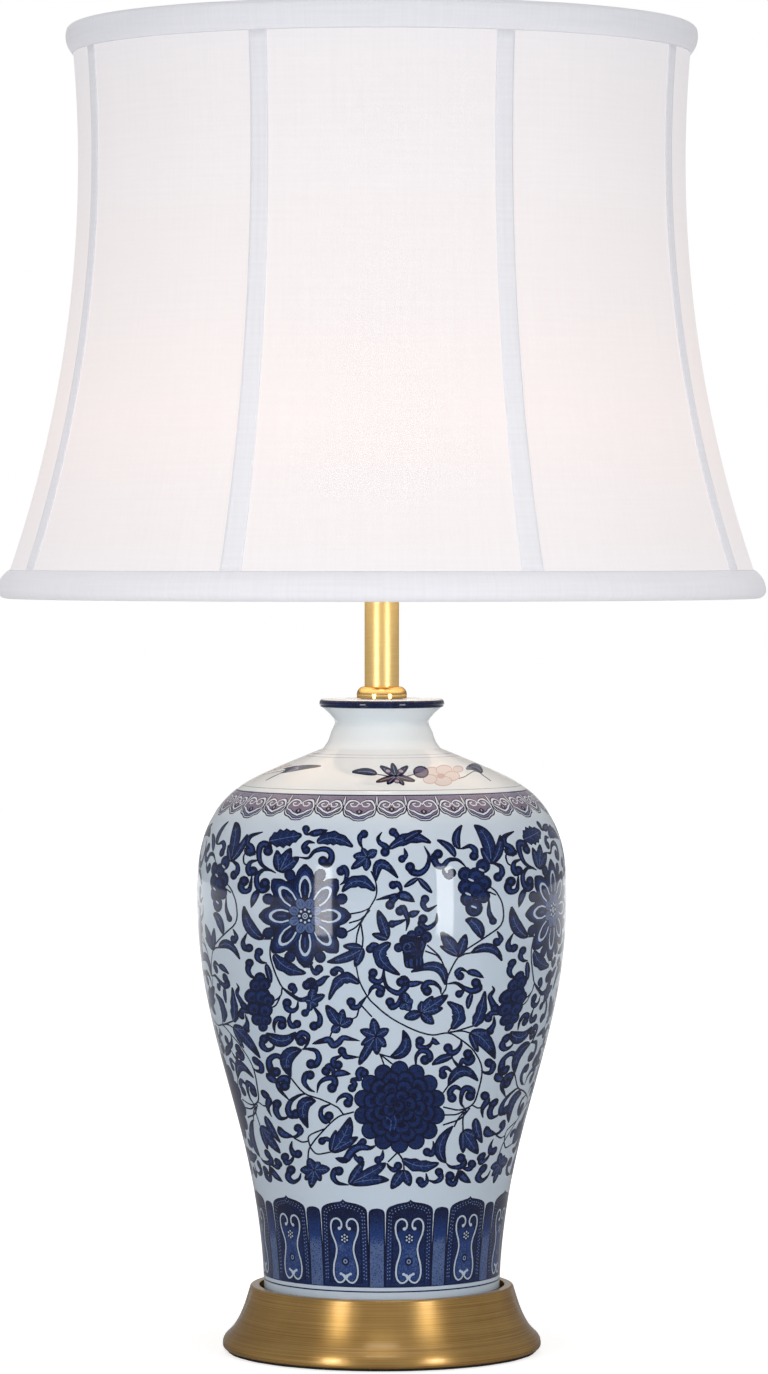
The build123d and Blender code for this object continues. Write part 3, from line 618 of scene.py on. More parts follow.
CURL_HEAD = 5.2
WISP_SWELL = 1.4
STRIP_TONE = 0.5
SPRAY_ROWS = (787.5, 752.0)             # lower and upper end of the shoulder's sprays
WASH_ROWS = (1247, 1211)                # between which the lappets deepen
SHOULDER_ROWS = (826, 798)              # between which the glaze turns white
LIP_BAND = (0.3356, 0.3394)             # heights of the blue lip, in metres
BODY_LINES = ((1292.1, 0.75), (1287.4, 0.5), (790.6, 0.3), (795.6, 1.2))    # row and millimetres
SPRAY_LINES = ((755.2, 0.34), (758.0, 0.34))

STEMS = [
    [(272, 939), (270, 950), (271, 960), (276, 975), (282, 987), (290, 995), (298, 999)],
    [(282, 988), (281, 995), (276, 1000), (271, 1001)],
    [(280, 997), (276, 1005), (271, 1008)],
    [(371, 871), (376, 883), (376, 896), (369, 909), (361, 923), (357, 935), (356, 946)],
    [(370, 908), (361, 912), (350, 914)],
    [(370, 910), (361, 919), (349, 923)],
    [(366, 915), (356, 927), (345, 933)],
    [(361, 924), (363, 938), (362, 949)],
    [(356, 965), (359, 980), (367, 996), (375, 1005), (391, 1018), (414, 1030), (432, 1035),
     (448, 1033), (460, 1039), (474, 1051), (482, 1069), (478, 1092), (472, 1105), (459, 1110),
     (443, 1107)],
    [(472, 1105), (458, 1114), (445, 1115)],
    [(470, 1108), (460, 1119), (443, 1125)],
    [(472, 1105), (478, 1108), (483, 1107)],
    [(448, 1033), (460, 1030), (473, 1026)],
    [(448, 1032), (451, 1028)],
    [(450, 1032), (462, 1031), (470, 1033)],
    [(489, 886), (497, 893), (503, 907), (501, 925), (481, 940), (460, 955), (448, 976),
     (446, 988), (441, 996)],
    [(489, 892), (496, 895)],
    [(459, 957), (465, 954), (471, 953)],
    [(427, 945), (439, 956), (445, 969), (448, 978)],
    [(425, 951), (436, 955), (441, 960)],
    [(367, 996), (360, 1005), (357, 1016), (352, 1019)],
    [(361, 1005), (372, 1017)],
    [(332, 1031), (329, 1040)],
    [(290, 1077), (304, 1093), (320, 1099), (337, 1107), (343, 1114)],
    [(354, 1112), (338, 1117), (322, 1132), (310, 1147), (308, 1158)],
    [(310, 1146), (309, 1136), (324, 1129)],
    [(310, 1147), (317, 1154), (331, 1152)],
    [(294, 1138), (302, 1142), (309, 1141)],
    [(398, 1152), (388, 1162)],
    [(397, 1152), (403, 1160), (404, 1170)],
    [(398, 1152), (402, 1159)],
    [(379, 1054), (390, 1057)],
    [(380, 1054), (385, 1067)],
    [(381, 1055), (396, 1067)],
    [(463, 1131), (463, 1118), (466, 1110)],
    [(454, 1127), (458, 1119), (464, 1112)],
    [(448, 1086), (443, 1093)],
    [(264, 939), (272, 939)],
    [(249, 852), (244, 855), (244, 863), (249, 866)],
]

CURLS = [
    [(268, 851), (268, 846), (264, 844), (260, 847), (259, 857), (263, 866), (276, 873)],
    [(253, 871), (250, 873), (248, 868), (251, 862), (259, 860)],
    [(265, 883), (266, 888), (261, 890), (257, 884), (257, 876), (263, 870), (270, 870), (276, 873)],
    [(244, 881), (241, 886), (243, 891), (249, 890), (251, 882), (252, 875)],
    [(306, 829), (306, 833), (310, 835)],
    [(306, 850), (304, 847), (308, 842), (315, 843)],
    [(323, 861), (327, 864), (331, 860), (331, 853), (325, 849), (315, 851), (308, 858), (298, 857)],
    [(341, 871), (344, 868), (347, 873), (345, 881), (340, 885)],
    [(364, 834), (360, 837), (360, 843), (363, 849)],
    [(249, 948), (245, 948), (243, 942), (247, 933)],
    [(259, 952), (257, 957), (261, 962), (267, 963)],
    [(370, 949), (373, 945), (378, 946), (381, 953)],
    [(249, 851), (252, 853), (251, 847), (247, 843), (251, 836), (263, 832)],
    [(393, 832), (397, 836), (399, 843), (404, 846)],
    [(402, 859), (406, 855), (404, 848)],
    [(410, 867), (413, 872), (420, 873), (427, 867), (429, 856), (424, 846)],
    [(385, 852), (386, 847), (380, 843), (378, 838), (382, 832)],
    [(393, 885), (398, 884), (401, 890), (399, 896)],
    [(390, 905), (393, 900), (397, 896), (388, 897), (376, 900)],
    [(425, 899), (423, 905), (428, 910), (437, 905)],
    [(400, 911), (403, 908), (406, 914), (408, 921), (406, 931)],
    [(392, 924), (400, 922), (407, 919)],
    [(423, 919), (421, 925), (428, 928), (436, 922), (437, 913)],
    [(474, 856), (475, 850), (470, 846), (464, 848), (460, 849)],
    [(438, 854), (434, 858), (437, 865), (443, 866), (449, 860), (458, 860), (466, 867)],
    [(452, 873), (449, 877), (444, 873), (443, 867)],
    [(498, 877), (502, 873), (501, 867), (496, 864), (491, 863)],
    [(493, 921), (489, 912), (489, 899)],
    [(497, 942), (501, 939), (499, 934), (497, 931)],
    [(249.5, 963), (248, 970), (251, 976), (257, 979)],
    [(292, 987), (295, 990), (292, 994), (289, 993)],
    [(307, 985), (311, 981), (315, 986), (313, 994), (306, 999), (298, 999), (287, 991), (282, 987)],
    [(314, 1026), (319, 1024), (320, 1017), (316, 1010), (312, 1005)],
    [(305, 1013), (308, 1010), (308, 1005)],
    [(287, 1003), (287, 1008), (292, 1011), (297, 1008), (298, 1001)],
    [(297, 1024), (292, 1026), (289, 1020), (291, 1012)],
    [(305, 962), (309, 966), (313, 962)],
    [(319, 969), (316, 973), (312, 969), (311, 963)],
    [(334, 972), (337, 969), (342, 971), (343, 978)],
    [(351, 1002), (353, 1007), (358, 1007), (361, 1003), (367, 996)],
    [(380, 993), (382, 989), (376, 986), (371, 989), (368, 996)],
    [(373, 973), (372, 979), (378, 982), (383, 978), (384, 966)],
    [(282, 1025), (283, 1020), (277, 1019), (274, 1025), (275, 1033)],
    [(264, 1039), (262, 1045), (267, 1050), (273, 1048), (274, 1043)],
    [(301, 1041), (298, 1037), (302, 1033), (308, 1036), (307, 1044), (303, 1050)],
    [(311, 1064), (316, 1064), (319, 1058), (316, 1051), (309, 1049), (302, 1049)],
    [(276, 1072), (271, 1070), (269, 1061), (274, 1056), (280, 1057), (284, 1064), (290, 1077)],
    [(310, 1075), (306, 1075), (304, 1082), (309, 1089), (315, 1092)],
    [(326, 1071), (329, 1066), (333, 1070), (333, 1076), (329, 1080)],
    [(332, 1088), (335, 1083), (333, 1078), (325, 1079), (319, 1084), (317, 1093)],
    [(364, 1073), (361, 1070), (358, 1074), (360, 1079), (353, 1079), (350, 1083)],
    [(352, 1088), (355, 1084), (352, 1080), (358, 1077)],
    [(342, 1051), (344, 1054), (347, 1057), (359, 1057)],
    [(338, 1065), (334, 1065), (333, 1060), (338, 1057), (343, 1055)],
    [(285, 1086), (287, 1080), (283, 1078), (278, 1082), (280, 1090), (289, 1100)],
    [(296, 1114), (291, 1115), (288, 1109), (291, 1101), (300, 1095), (306, 1094)],
    [(277, 1104), (276, 1111), (280, 1118), (286, 1118), (289, 1115)],
    [(329, 1116), (326, 1121), (321, 1116), (322, 1108), (331, 1104)],
    [(348, 1103), (350, 1098), (345, 1095), (339, 1098), (336, 1103)],
    [(427, 991), (424, 988), (427, 983), (434, 983), (440, 988), (441, 994)],
    [(390, 1002), (392, 1007), (398, 1004), (401, 996), (405, 990)],
    [(401, 982), (404, 979), (407, 984), (403, 990), (397, 993), (387, 987), (384, 976), (384, 966)],
    [(460, 976), (457, 973), (461, 969), (468, 972)],
    [(476, 983), (479, 988), (472, 991), (464, 988), (456, 983), (447, 984)],
    [(459, 994), (462, 992), (465, 988)],
    [(495, 1008), (492, 1002), (490, 996), (494, 990), (492, 986)],
    [(488, 1018), (492, 1013), (499, 1013), (501, 1006)],
    [(490, 1031), (494, 1024), (494, 1016)],
    [(420, 1041), (419, 1046), (425, 1048), (431, 1044), (433, 1037)],
    [(425, 1060), (430, 1058), (428, 1052), (421, 1051), (416, 1057), (416, 1067)],
    [(448, 1048), (451, 1053), (457, 1051), (461, 1045), (461, 1039)],
    [(468, 1054), (472, 1059), (468, 1063), (463, 1060), (459, 1066), (454, 1061), (452, 1057)],
    [(489, 1063), (493, 1065), (491, 1072), (485, 1073), (481, 1070)],
    [(443, 1075), (442, 1070), (447, 1068), (453, 1073)],
    [(452, 1098), (450, 1092), (455, 1087), (461, 1090), (462, 1096)],
    [(470, 1096), (472, 1091), (466, 1088), (462, 1093), (461, 1103), (465, 1109)],
    [(298, 1128), (301, 1131), (297, 1136), (291, 1137)],
    [(298, 1154), (294, 1154), (291, 1148), (292, 1141)],
    [(285, 1157), (287, 1163), (292, 1160), (294, 1154)],
    [(291, 1170), (288, 1177), (293, 1182), (299, 1179), (301, 1173)],
    [(322, 1141), (327, 1139), (334, 1143)],
    [(363, 1142), (359, 1144), (355, 1148)],
    [(360, 1160), (356, 1158), (354, 1152)],
    [(378, 1160), (382, 1157), (383, 1150)],
    [(339, 1171), (335, 1171), (333, 1177), (338, 1183), (349, 1185)],
    [(398, 1166), (394, 1170), (389, 1167), (387, 1163)],
    [(427, 1152), (432, 1154), (434, 1147), (433, 1141)],
    [(420, 1181), (422, 1185), (427, 1181), (426, 1173)],
    [(439, 1172), (441, 1178), (435, 1182), (428, 1180)],
    [(461, 1158), (464, 1163), (460, 1167), (451, 1167), (446, 1163)],
    [(472, 1164), (469, 1169), (463, 1168), (460, 1167)],
    [(450, 1176), (449, 1182), (454, 1184), (457, 1177), (459, 1168)],
    [(485, 1096), (487, 1101), (483, 1107), (482, 1112), (483, 1118)],
]

FLAMES = [
    (5, [(308, 834), (316, 833), (328, 830)]),
    (5, [(260, 889), (255, 896), (251, 908)]),
    (7, [(395, 896), (405, 896), (415, 902)]),
    (5, [(407, 915), (413, 914), (420, 911)]),
    (5, [(311, 983), (319, 983), (325, 978), (330, 976)]),
    (5, [(312, 1044), (322, 1041), (329, 1040), (333, 1045), (338, 1043), (343, 1038), (351, 1039),
         (360, 1041)]),
    (5, [(266, 1073), (272, 1079), (280, 1083)]),
    (5, [(331, 1076), (340, 1073), (351, 1074)]),
    (4.5, [(403, 984), (412, 984), (424, 982)]),
    (5, [(466, 972), (475, 973), (484, 978)]),
    (4, [(432, 1038), (435, 1042), (440, 1044)]),
    (5, [(278, 1126), (283, 1134), (294, 1137)]),
    (6, [(335, 1158), (345, 1160), (352, 1151), (360, 1147), (370, 1148), (377, 1145)]),
    (6, [(460, 1170), (463, 1177), (471, 1183)]),
]

# A leaf is its base, a point on its midrib, its tip, its width and its teeth.
LEAVES = [
    ((269, 841), (285, 838), (302, 835), 16, 5),
    ((317, 843), (334, 838), (353, 847), 12, 4),
    ((264, 939), (250, 927), (244, 906), 10, 0),
    ((375, 891), (358, 881), (342, 892), 11, 3),
    ((376, 881), (381, 864), (398, 878), 9, 0),
    ((389, 849), (410, 838), (431, 843), 10, 3),
    ((404, 841), (412, 835), (422, 831), 6, 0),
    ((460, 849), (456, 838), (462, 825), 7, 0),
    ((455, 857), (449, 847), (437, 840), 6, 0),
    ((482, 939), (476, 925), (465, 920), 11, 0),
    ((471, 953), (490, 948), (502, 961), 8, 0),
    ((274, 954), (286, 967), (306, 973), 12, 3),
    ((266, 964), (269, 974), (271, 983), 5, 0),
    ((359, 984), (342, 979), (329, 1000), 10, 3),
    ((266, 1033), (282, 1041), (296, 1032), 11, 0),
    ((302, 1050), (287, 1058), (291, 1077), 13, 0),
    ((390, 1057), (405, 1048), (403, 1030), 11, 0),
    ((445, 985), (437, 967), (411, 972), 9, 0),
    ((451, 1029), (459, 1014), (447, 1002), 12, 3),
    ((473, 1026), (480, 1014), (485, 991), 10, 3),
    ((453, 1056), (442, 1059), (432, 1065), 7, 0),
    ((448, 1086), (462, 1071), (478, 1081), 10, 0),
    ((316, 1101), (303, 1107), (308, 1128), 12, 0),
    ((402, 1159), (420, 1166), (439, 1163), 11, 3),
    ((446, 1163), (440, 1146), (453, 1126), 10, 0),
    ((472, 993), (469, 1001), (468, 1009), 5, 0),
    ((391, 943), (380, 957), (400, 975), 13, 3),
    ((476, 1118), (477, 1130), (482, 1143), 8, 0),
]

# A spray of leaves is one base, and for each leaf its tip, its width and, if bent, a point on its midrib.
SPRAYS = [
    ((279, 872), [((277, 850), 9), ((291, 848), 11), ((299, 857), 10)]),
    ((363, 948), [((327, 962), 9, (347, 957)), ((343, 946), 7), ((355, 967), 8)]),
    ((388, 939), [((378, 910), 10), ((372, 934), 6)]),
    ((418, 878), [((404, 887), 4), ((432, 893), 5)]),
    ((491, 864), [((474, 825), 12, (487, 840)), ((500, 835), 8, (499, 850)), ((481, 848), 6)]),
    ((459, 956), [((441, 932), 12), ((466, 934), 9), ((440, 946), 5)]),
    ((340, 1026), [((326, 1005), 10), ((343, 1009), 8), ((353, 1019), 9), ((331, 1032), 8)]),
    ((470, 1033), [((495, 1059), 14, (484, 1040)), ((491, 1033), 8), ((478, 1052), 6)]),
    ((331, 1152), [((350, 1117), 14, (344, 1136)), ((358, 1137), 9), ((336, 1130), 7)]),
    ((349, 1184), [((364, 1161), 8), ((386, 1163), 10, (372, 1172)), ((389, 1180), 10, (370, 1180)),
                   ((357, 1173), 6)]),
    ((404, 1170), [((391, 1189), 10), ((410, 1186), 9)]),
    ((463, 1131), [((478, 1154), 12), ((477, 1137), 8), ((463, 1153), 7)]),
    ((367, 857), [((353, 856), 8), ((351, 869), 7), ((366, 871), 8), ((377, 850), 8), ((362, 848), 6)]),
    ((376, 1036), [((373, 1018), 9), ((360, 1030), 8), ((361, 1045), 7), ((359, 1065), 8, (366, 1052)),
                   ((377, 1055), 9), ((386, 1047), 8), ((389, 1029), 8)]),
    ((421, 1013), [((448, 995), 10), ((433, 996), 8), ((422, 1001), 7), ((404, 1018), 9),
                   ((434, 1024), 9), ((443, 1008), 8)]),
    ((406, 1003), [((413, 1000), 8), ((405, 992), 8), ((400, 1009), 8), ((410, 1011), 8)]),
    ((311, 1001), [((325, 995), 7), ((318, 1006), 7), ((305, 1000), 6), ((314, 987), 8),
                   ((310, 1011), 6)]),
    ((314, 1170), [((308, 1158), 8), ((300, 1170), 8), ((305, 1180), 7), ((311, 1188), 8),
                   ((321, 1181), 7), ((330, 1169), 9), ((320, 1162), 8)]),
]

# A flower is its middle and its reach across and up.
LOTUS = (305, 916, 45.5, 51)
PEONY = (399.5, 1107, 45, 45)
# A lobe is its middle and its radius.
BERRIES = [(483, 866, 6.5), (465, 874, 6.5), (476, 876, 8), (484, 883, 7), (466, 887, 7.5),
           (476, 889, 9), (483, 896, 6.5), (468, 899, 7), (474, 908, 8)]
BERRY_LIGHTS = [(481.6, 870), (471, 880), (468, 894), (474, 907)]
CUP_LOBES = [(419.4, 931, 4.6), (426, 937, 5.2), (412, 936, 5.0), (406, 941, 6.0), (398.6, 947.6, 4.0)]
CUP_BODY = [(401, 946), (403, 939), (411, 936), (420, 937), (427, 941), (424.5, 950), (423, 957),
            (424, 964), (421, 968), (413, 969), (405.5, 967.4), (403.6, 962), (403, 955)]
CUP_FOLDS = [
    ((407, 961), (406.6, 964), (407.4, 966.6), 1.6),
    ((411.4, 959), (411, 962.5), (411.6, 966.8), 3.2),
    ((416.6, 958.6), (417, 962.4), (416.6, 966), 1.4),
    ((420.6, 957), (420.8, 961), (420.4, 965), 1.5),
    ((421.6, 941), (423.4, 945), (421.4, 950), 1.8),
    ((408, 943), (412.4, 942.6), (414.6, 945.8), 1.0),
]
CUP_SCROLL = [(411, 950.6), (405.6, 951.6), (403.4, 947), (407, 943.6), (410.6, 946), (408.6, 948.8)]
SCALLOP_BUD = [(260, 978, 5), (256, 985, 6), (264, 984, 6), (252, 996, 7), (262, 996, 8),
               (268, 1000, 6), (254, 1008, 7), (265, 1010, 7), (258, 1019, 6), (266, 1020, 5),
               (263, 1027, 4)]


def smooth_line(points, steps=CURVE_STEPS):
    """A curve through points, with a few steps between each two."""
    p = np.asarray(points, float)
    p = np.vstack([2 * p[0] - p[1], p, 2 * p[-1] - p[-2]])
    t = np.linspace(0, 1, steps, endpoint=False)[:, None]
    runs = []
    for a, b, c, d in zip(p, p[1:], p[2:], p[3:]):
        runs.append(0.5 * (2 * b + (c - a) * t + (2 * a - 5 * b + 4 * c - d) * t ** 2
                           + (3 * b - a - 3 * c + d) * t ** 3))
    return np.vstack(runs + [p[-2:-1]])


def brush(line, widths):
    """The outline of a brush stroke along a line."""
    slope = np.gradient(line, axis=0)
    slope /= np.maximum(np.linalg.norm(slope, axis=1, keepdims=True), 1e-9)
    side = np.column_stack([-slope[:, 1], slope[:, 0]]) * np.asarray(widths)[:, None] / 2
    return np.vstack([line + side, (line - side)[::-1]])


def shares_of(line):
    """How far along a line each of its points is, from 0 to 1."""
    run = run_along(line)
    return run / run[-1]


def oval(x, y, across, up, turn=0.0, count=14):
    angles = np.linspace(0, math.tau, count, endpoint=False)
    a, b = across * np.cos(angles), up * np.sin(angles)
    c, s = math.cos(turn), math.sin(turn)
    return np.column_stack([x + a * c - b * s, y + a * s + b * c])


def mirrored(side):
    """A closed outline from its right side, given from bottom to top about the line x = 0."""
    side = np.asarray(side, float)
    return np.vstack([side, side[::-1] * (-1, 1)])


def within(points, outline):
    """Which points lie inside an outline, by how often it winds round them."""
    x, y = points[:, 0, None], points[:, 1, None]
    ax, ay = outline.T
    bx, by = np.roll(outline, -1, axis=0).T
    side = (bx - ax) * (y - ay) - (x - ax) * (by - ay)
    up = (ay <= y) & (by > y) & (side > 0)
    down = (ay > y) & (by <= y) & (side < 0)
    return up.sum(axis=1) != down.sum(axis=1)


def thinned(line, slack):
    """A line without the points that lie within a slack of the straight run between others."""
    keep = np.zeros(len(line), bool)
    keep[[0, -1]] = True
    spans = [(0, len(line) - 1)]
    if len(line) > 3 and np.allclose(line[0], line[-1]):
        far = int(np.hypot(*(line - line[0]).T).argmax())
        keep[far] = True
        spans = [(0, far), (far, len(line) - 1)]
    while spans:
        first, last = spans.pop()
        if last - first < 2:
            continue
        run = line[last] - line[first]
        offset = line[first + 1:last] - line[first]
        away = np.abs(run[0] * offset[:, 1] - run[1] * offset[:, 0]) / max(np.hypot(*run), 1e-9)
        worst = int(away.argmax())
        if away[worst] > slack:
            middle = first + 1 + worst
            keep[middle] = True
            spans += [(first, middle), (middle, last)]
    return line[keep]


def stepped(line, longest):
    """A line with points added so that no step is longer than asked."""
    points = [line[:1]]
    for a, b in zip(line, line[1:]):
        count = max(1, math.ceil(math.dist(a, b) / longest))
        points.append(a + np.linspace(0, 1, count + 1)[1:, None] * (b - a))
    return np.vstack(points)


class VaseForm:
    """The vase's own profile, read from its solid."""

    def __init__(self):
        mesh = NODES["vase"].data
        points = np.array([vertex.co for vertex in mesh.vertices])
        self.tree = BVHTree.FromPolygons([tuple(p) for p in points],
                                         [tuple(p.vertices) for p in mesh.polygons])
        self.bottom = points[:, 2].min()
        self.top = points[:, 2].max()
        radii = np.hypot(points[:, 0], points[:, 1])
        kept = []
        for height, radius in sorted(zip(points[:, 2], radii)):
            apart = math.dist((radius, height), kept[-1]) if kept else 1.0
            if apart > RING_GAP and self.is_outside(radius, height):
                kept.append((radius, height))
        self.fit(thinned(np.array(kept), 3e-6))

    def hit(self, height, outside):
        """Radius of the wall at a height, seen from outside or from the axis; zero if none."""
        way = Vector((math.sin(FEELER_ANGLE), -math.cos(FEELER_ANGLE), 0.0))
        up = Vector((0.0, 0.0, height))
        start = up + way * 0.5 if outside else up
        found = self.tree.ray_cast(start, -way if outside else way)[0]
        return math.hypot(found.x, found.y) if found else 0.0

    def is_outside(self, radius, height):
        margin = 2e-5
        inner = min(max(height, self.bottom + margin), self.top - margin)
        return abs(self.hit(inner, True) - radius) < WALL_SLACK

    def fit(self, knots):
        """A smooth profile through the rings of the outside."""
        steps = np.linalg.norm(np.diff(knots, axis=0), axis=1)
        slopes = np.diff(knots, axis=0) / steps[:, None]
        before, after = steps[:-1, None], steps[1:, None]
        shared = (slopes[:-1] * after + slopes[1:] * before) / (before + after)
        corner = (slopes[:-1] * slopes[1:]).sum(axis=1) < math.cos(math.radians(SHARP_TURN))
        leave = np.vstack([slopes[:1], np.where(corner[:, None], slopes[1:], shared)])
        reach = np.vstack([np.where(corner[:, None], slopes[:-1], shared), slopes[-1:]])
        line = []
        for i, step in enumerate(steps):
            t = np.linspace(0, 1, max(2, int(step / RING_GAP)), endpoint=False)[:, None]
            line.append(knots[i] * (2 * t ** 3 - 3 * t ** 2 + 1)
                        + leave[i] * step * (t ** 3 - 2 * t ** 2 + t)
                        + knots[i + 1] * (3 * t ** 2 - 2 * t ** 3)
                        + reach[i] * step * (t ** 3 - t ** 2))
        line = np.vstack(line + [knots[-1:]])
        self.radius, self.height = line.T
        self.along = run_along(line)
        run = np.gradient(line, self.along, axis=0)
        run /= np.linalg.norm(run, axis=1, keepdims=True)
        self.facing = np.column_stack([run[:, 1], -run[:, 0]])

    def rows(self, low, high, longest, turn):
        """Profile lengths between two others, closer together where the profile bends."""
        inside = (self.along > low) & (self.along < high)
        bend = np.unwrap(np.arctan2(self.facing[inside, 1], self.facing[inside, 0]))
        effort = np.abs(np.gradient(bend)) / turn + np.gradient(self.along[inside]) / longest
        total = np.cumsum(effort)
        count = max(2, int(math.ceil(total[-1])))
        return np.interp(np.linspace(0, total[-1], count + 1), total, self.along[inside])[1:-1]

    def inner_profile(self):
        """Mouth, inside, floor and underside, from the lip round to the foot."""
        heights = np.arange(self.top - INNER_STEP / 2, self.bottom, -INNER_STEP)
        line = [(self.hit(z, False), z) for z in heights]
        line = [(line[0][0], self.top)] + line + [(line[-1][0], self.bottom)]
        kept = [line[0]]
        for before, here, after in zip(line, line[1:], line[2:]):
            jump = max(abs(here[0] - before[0]), abs(after[0] - here[0])) > INNER_JUMP
            if jump or abs(here[1] - kept[-1][1]) > INNER_ROW:
                kept.append(here)
        return kept + [line[-1]]


class Painting:
    """Cobalt shapes on one repeat of a band, each laid over those before it.

    They are kept as places on the unrolled vase: millimetres round it at one fixed radius,
    and millimetres up its profile. A tone of 0 is bare glaze and 1 is the deepest blue.
    """

    def __init__(self, form, low, high, start, repeats):
        self.form = form
        self.low = low * MM
        self.high = high * MM
        self.repeats = repeats
        self.period = math.tau * TILE_RADIUS / repeats
        self.left = math.radians(start) * TILE_RADIUS
        self.shapes = []
        stage = bpy.context.scene.lamp_stage
        self.distance = stage.camera_distance
        self.eye = stage.camera_height
        self.column = stage.axis_column
        self.row = stage.horizon_row
        self.step = stage.camera_distance * SENSOR_HEIGHT / (stage.lens * PICTURE_HEIGHT)

    def seen(self, points):
        """Places of points that are given as they are seen from the front."""
        points = np.asarray(points, float)
        near = np.full(len(points), 0.08)
        for _ in range(8):
            scale = self.step * (1 - near / self.distance)
            height = self.eye + (self.row - points[:, 1]) * scale
            radius = np.interp(height, self.form.height, self.form.radius)
            share = np.clip((points[:, 0] - self.column) * scale / radius, -0.999, 0.999)
            turn = np.arcsin(share)
            near = radius * np.cos(turn)
        along = np.interp(height, self.form.height, self.form.along)
        return np.column_stack([turn * TILE_RADIUS, along * MM])

    def beside(self, angle):
        """A way to place points given by picture steps beside an angle of the vase, and by rows."""
        def place(points):
            points = np.asarray(points, float)
            middle = np.column_stack([np.full(len(points), self.column), points[:, 1]])
            up = self.seen(middle)[:, 1]
            radius = np.interp(up / MM, self.form.along, self.form.radius)
            across = points[:, 0] * self.step * FRONT_SCALE / radius
            return np.column_stack([(math.radians(angle) + across) * TILE_RADIUS, up])
        return place

    def length_at_row(self, row):
        return self.seen([(self.column, row)])[0, 1]

    def lay(self, outline, tone, place=None):
        """Lays a shape down, and its copies where it crosses the sides of the repeat."""
        shape = (place or self.seen)(outline)
        for turn in (-1, 0, 1):
            copy = shape + (turn * self.period, 0.0)
            if copy[:, 0].max() > self.left and copy[:, 0].min() < self.left + self.period:
                self.shapes.append((copy, tone))

    def line_round(self, low, high, tone):
        """A line round the vase between two lengths of its profile."""
        margin = 2.0
        left = self.left - margin
        right = self.left + self.period + margin
        self.shapes.append((np.array([(left, low), (right, low), (right, high), (left, high)]), tone))

    def rows_round(self, lines, tone):
        """Lines round the vase, each given by its row and its thickness."""
        for row, thick in lines:
            middle = self.length_at_row(row)
            self.line_round(middle - thick / 2, middle + thick / 2, tone)

    def stroke(self, points, width, tone, place=None):
        line = smooth_line(points)
        self.lay(brush(line, np.full(len(line), width)), tone, place)

    def leaves(self, leaves):
        """Leaves with a dark edge, a washed middle and a midrib; those of a spray lie in one layer."""
        layers = ([], [], [])
        for base, middle, tip, width, teeth in leaves:
            base, middle, tip = (np.array(p, float) for p in (base, middle, tip))
            t = np.linspace(0, 1, 11 + 4 * teeth)
            bend = 2 * middle - (base + tip) / 2
            line = (np.outer((1 - t) ** 2, base) + np.outer(2 * t * (1 - t), bend)
                    + np.outer(t ** 2, tip))
            swell = np.sin(np.pi * t ** 0.85) ** 0.75
            notch = 1 + 0.3 * (np.abs((t * teeth) % 1 - 0.5) * 2 - 0.5) if teeth else 1.0
            layers[0].append((brush(line, width * swell * notch + LEAF_EDGE), 1.0))
            inner = slice(2, -2)
            washed = np.maximum(width * swell * notch - LEAF_WASH, 0.5)[inner]
            layers[1].append((brush(line[inner], washed), 0.84))
            layers[2].append((brush(line[1:-2], np.linspace(0.9, 0.5, len(line) - 3)), 0.5))
            if width >= VEINED_WIDTH:
                layers[2].extend(self.veins(line, width * swell))
        for layer in layers:
            for outline, tone in layer:
                self.lay(outline, tone)

    def veins(self, line, widths):
        """Thin pale veins that leave the midrib in pairs."""
        found = []
        for share in (0.3, 0.5, 0.7):
            i = int(share * (len(line) - 1))
            run = line[i + 1] - line[i - 1]
            run /= np.linalg.norm(run)
            for side in (-1, 1):
                out = np.array([-run[1], run[0]]) * side
                end = line[i] + (out + run) * widths[i] * 0.28
                found.append((brush(np.array([line[i], end]), (0.7, 0.5)), 0.58))
        return found

    def spray(self, base, tips):
        """Leaves from one base."""
        leaves = []
        for tip, width, *middle in tips:
            halfway = ((base[0] + tip[0]) / 2, (base[1] + tip[1]) / 2)
            leaves.append((base, middle[0] if middle else halfway, tip, width, 0))
        self.leaves(leaves)

    def curl(self, points):
        """A tendril that runs from a round head to a thin tail."""
        line = smooth_line(points)
        share = shares_of(line)
        size = min(1.0, 0.55 + len(points) * 0.08)
        widths = CURL_WIDTH * size * (1 - share) ** 0.8 + 1.1
        head = CURL_HEAD * size
        self.lay(brush(line, widths), 1.0)
        self.lay(oval(*points[0], head, head), 1.0)
        lit = (share > 0.12) & (share < 0.6)
        if lit.sum() > 2:
            self.lay(brush(line[lit], widths[lit] * 0.34), 0.66)
        self.lay(oval(*points[0], head * 0.4, head * 0.4, count=8), 0.7)

    def flame(self, width, points):
        """A wavy wisp, widest in its middle."""
        line = smooth_line(points)
        share = shares_of(line)
        widths = WISP_SWELL * width * np.sin(np.pi * share ** 0.8) ** 0.8 + 0.6
        self.lay(brush(line, widths), 1.0)
        lit = (share > 0.22) & (share < 0.8)
        self.lay(brush(line[lit], widths[lit] * 0.4), 0.62)

    def lobes(self, lobes):
        """A cluster of round lobes, dark at their edges."""
        for x, y, radius in lobes:
            self.lay(oval(x, y, radius + 1, radius + 1, count=16), 1.0)
        for x, y, radius in lobes:
            self.lay(oval(x, y, radius, radius, count=14), 0.95)
            self.lay(oval(x, y + 0.1 * radius, radius * 0.68, radius * 0.68, count=12), 0.76)
            self.lay(oval(x, y + 0.3 * radius, radius * 0.36, radius * 0.36, count=10), 0.95)

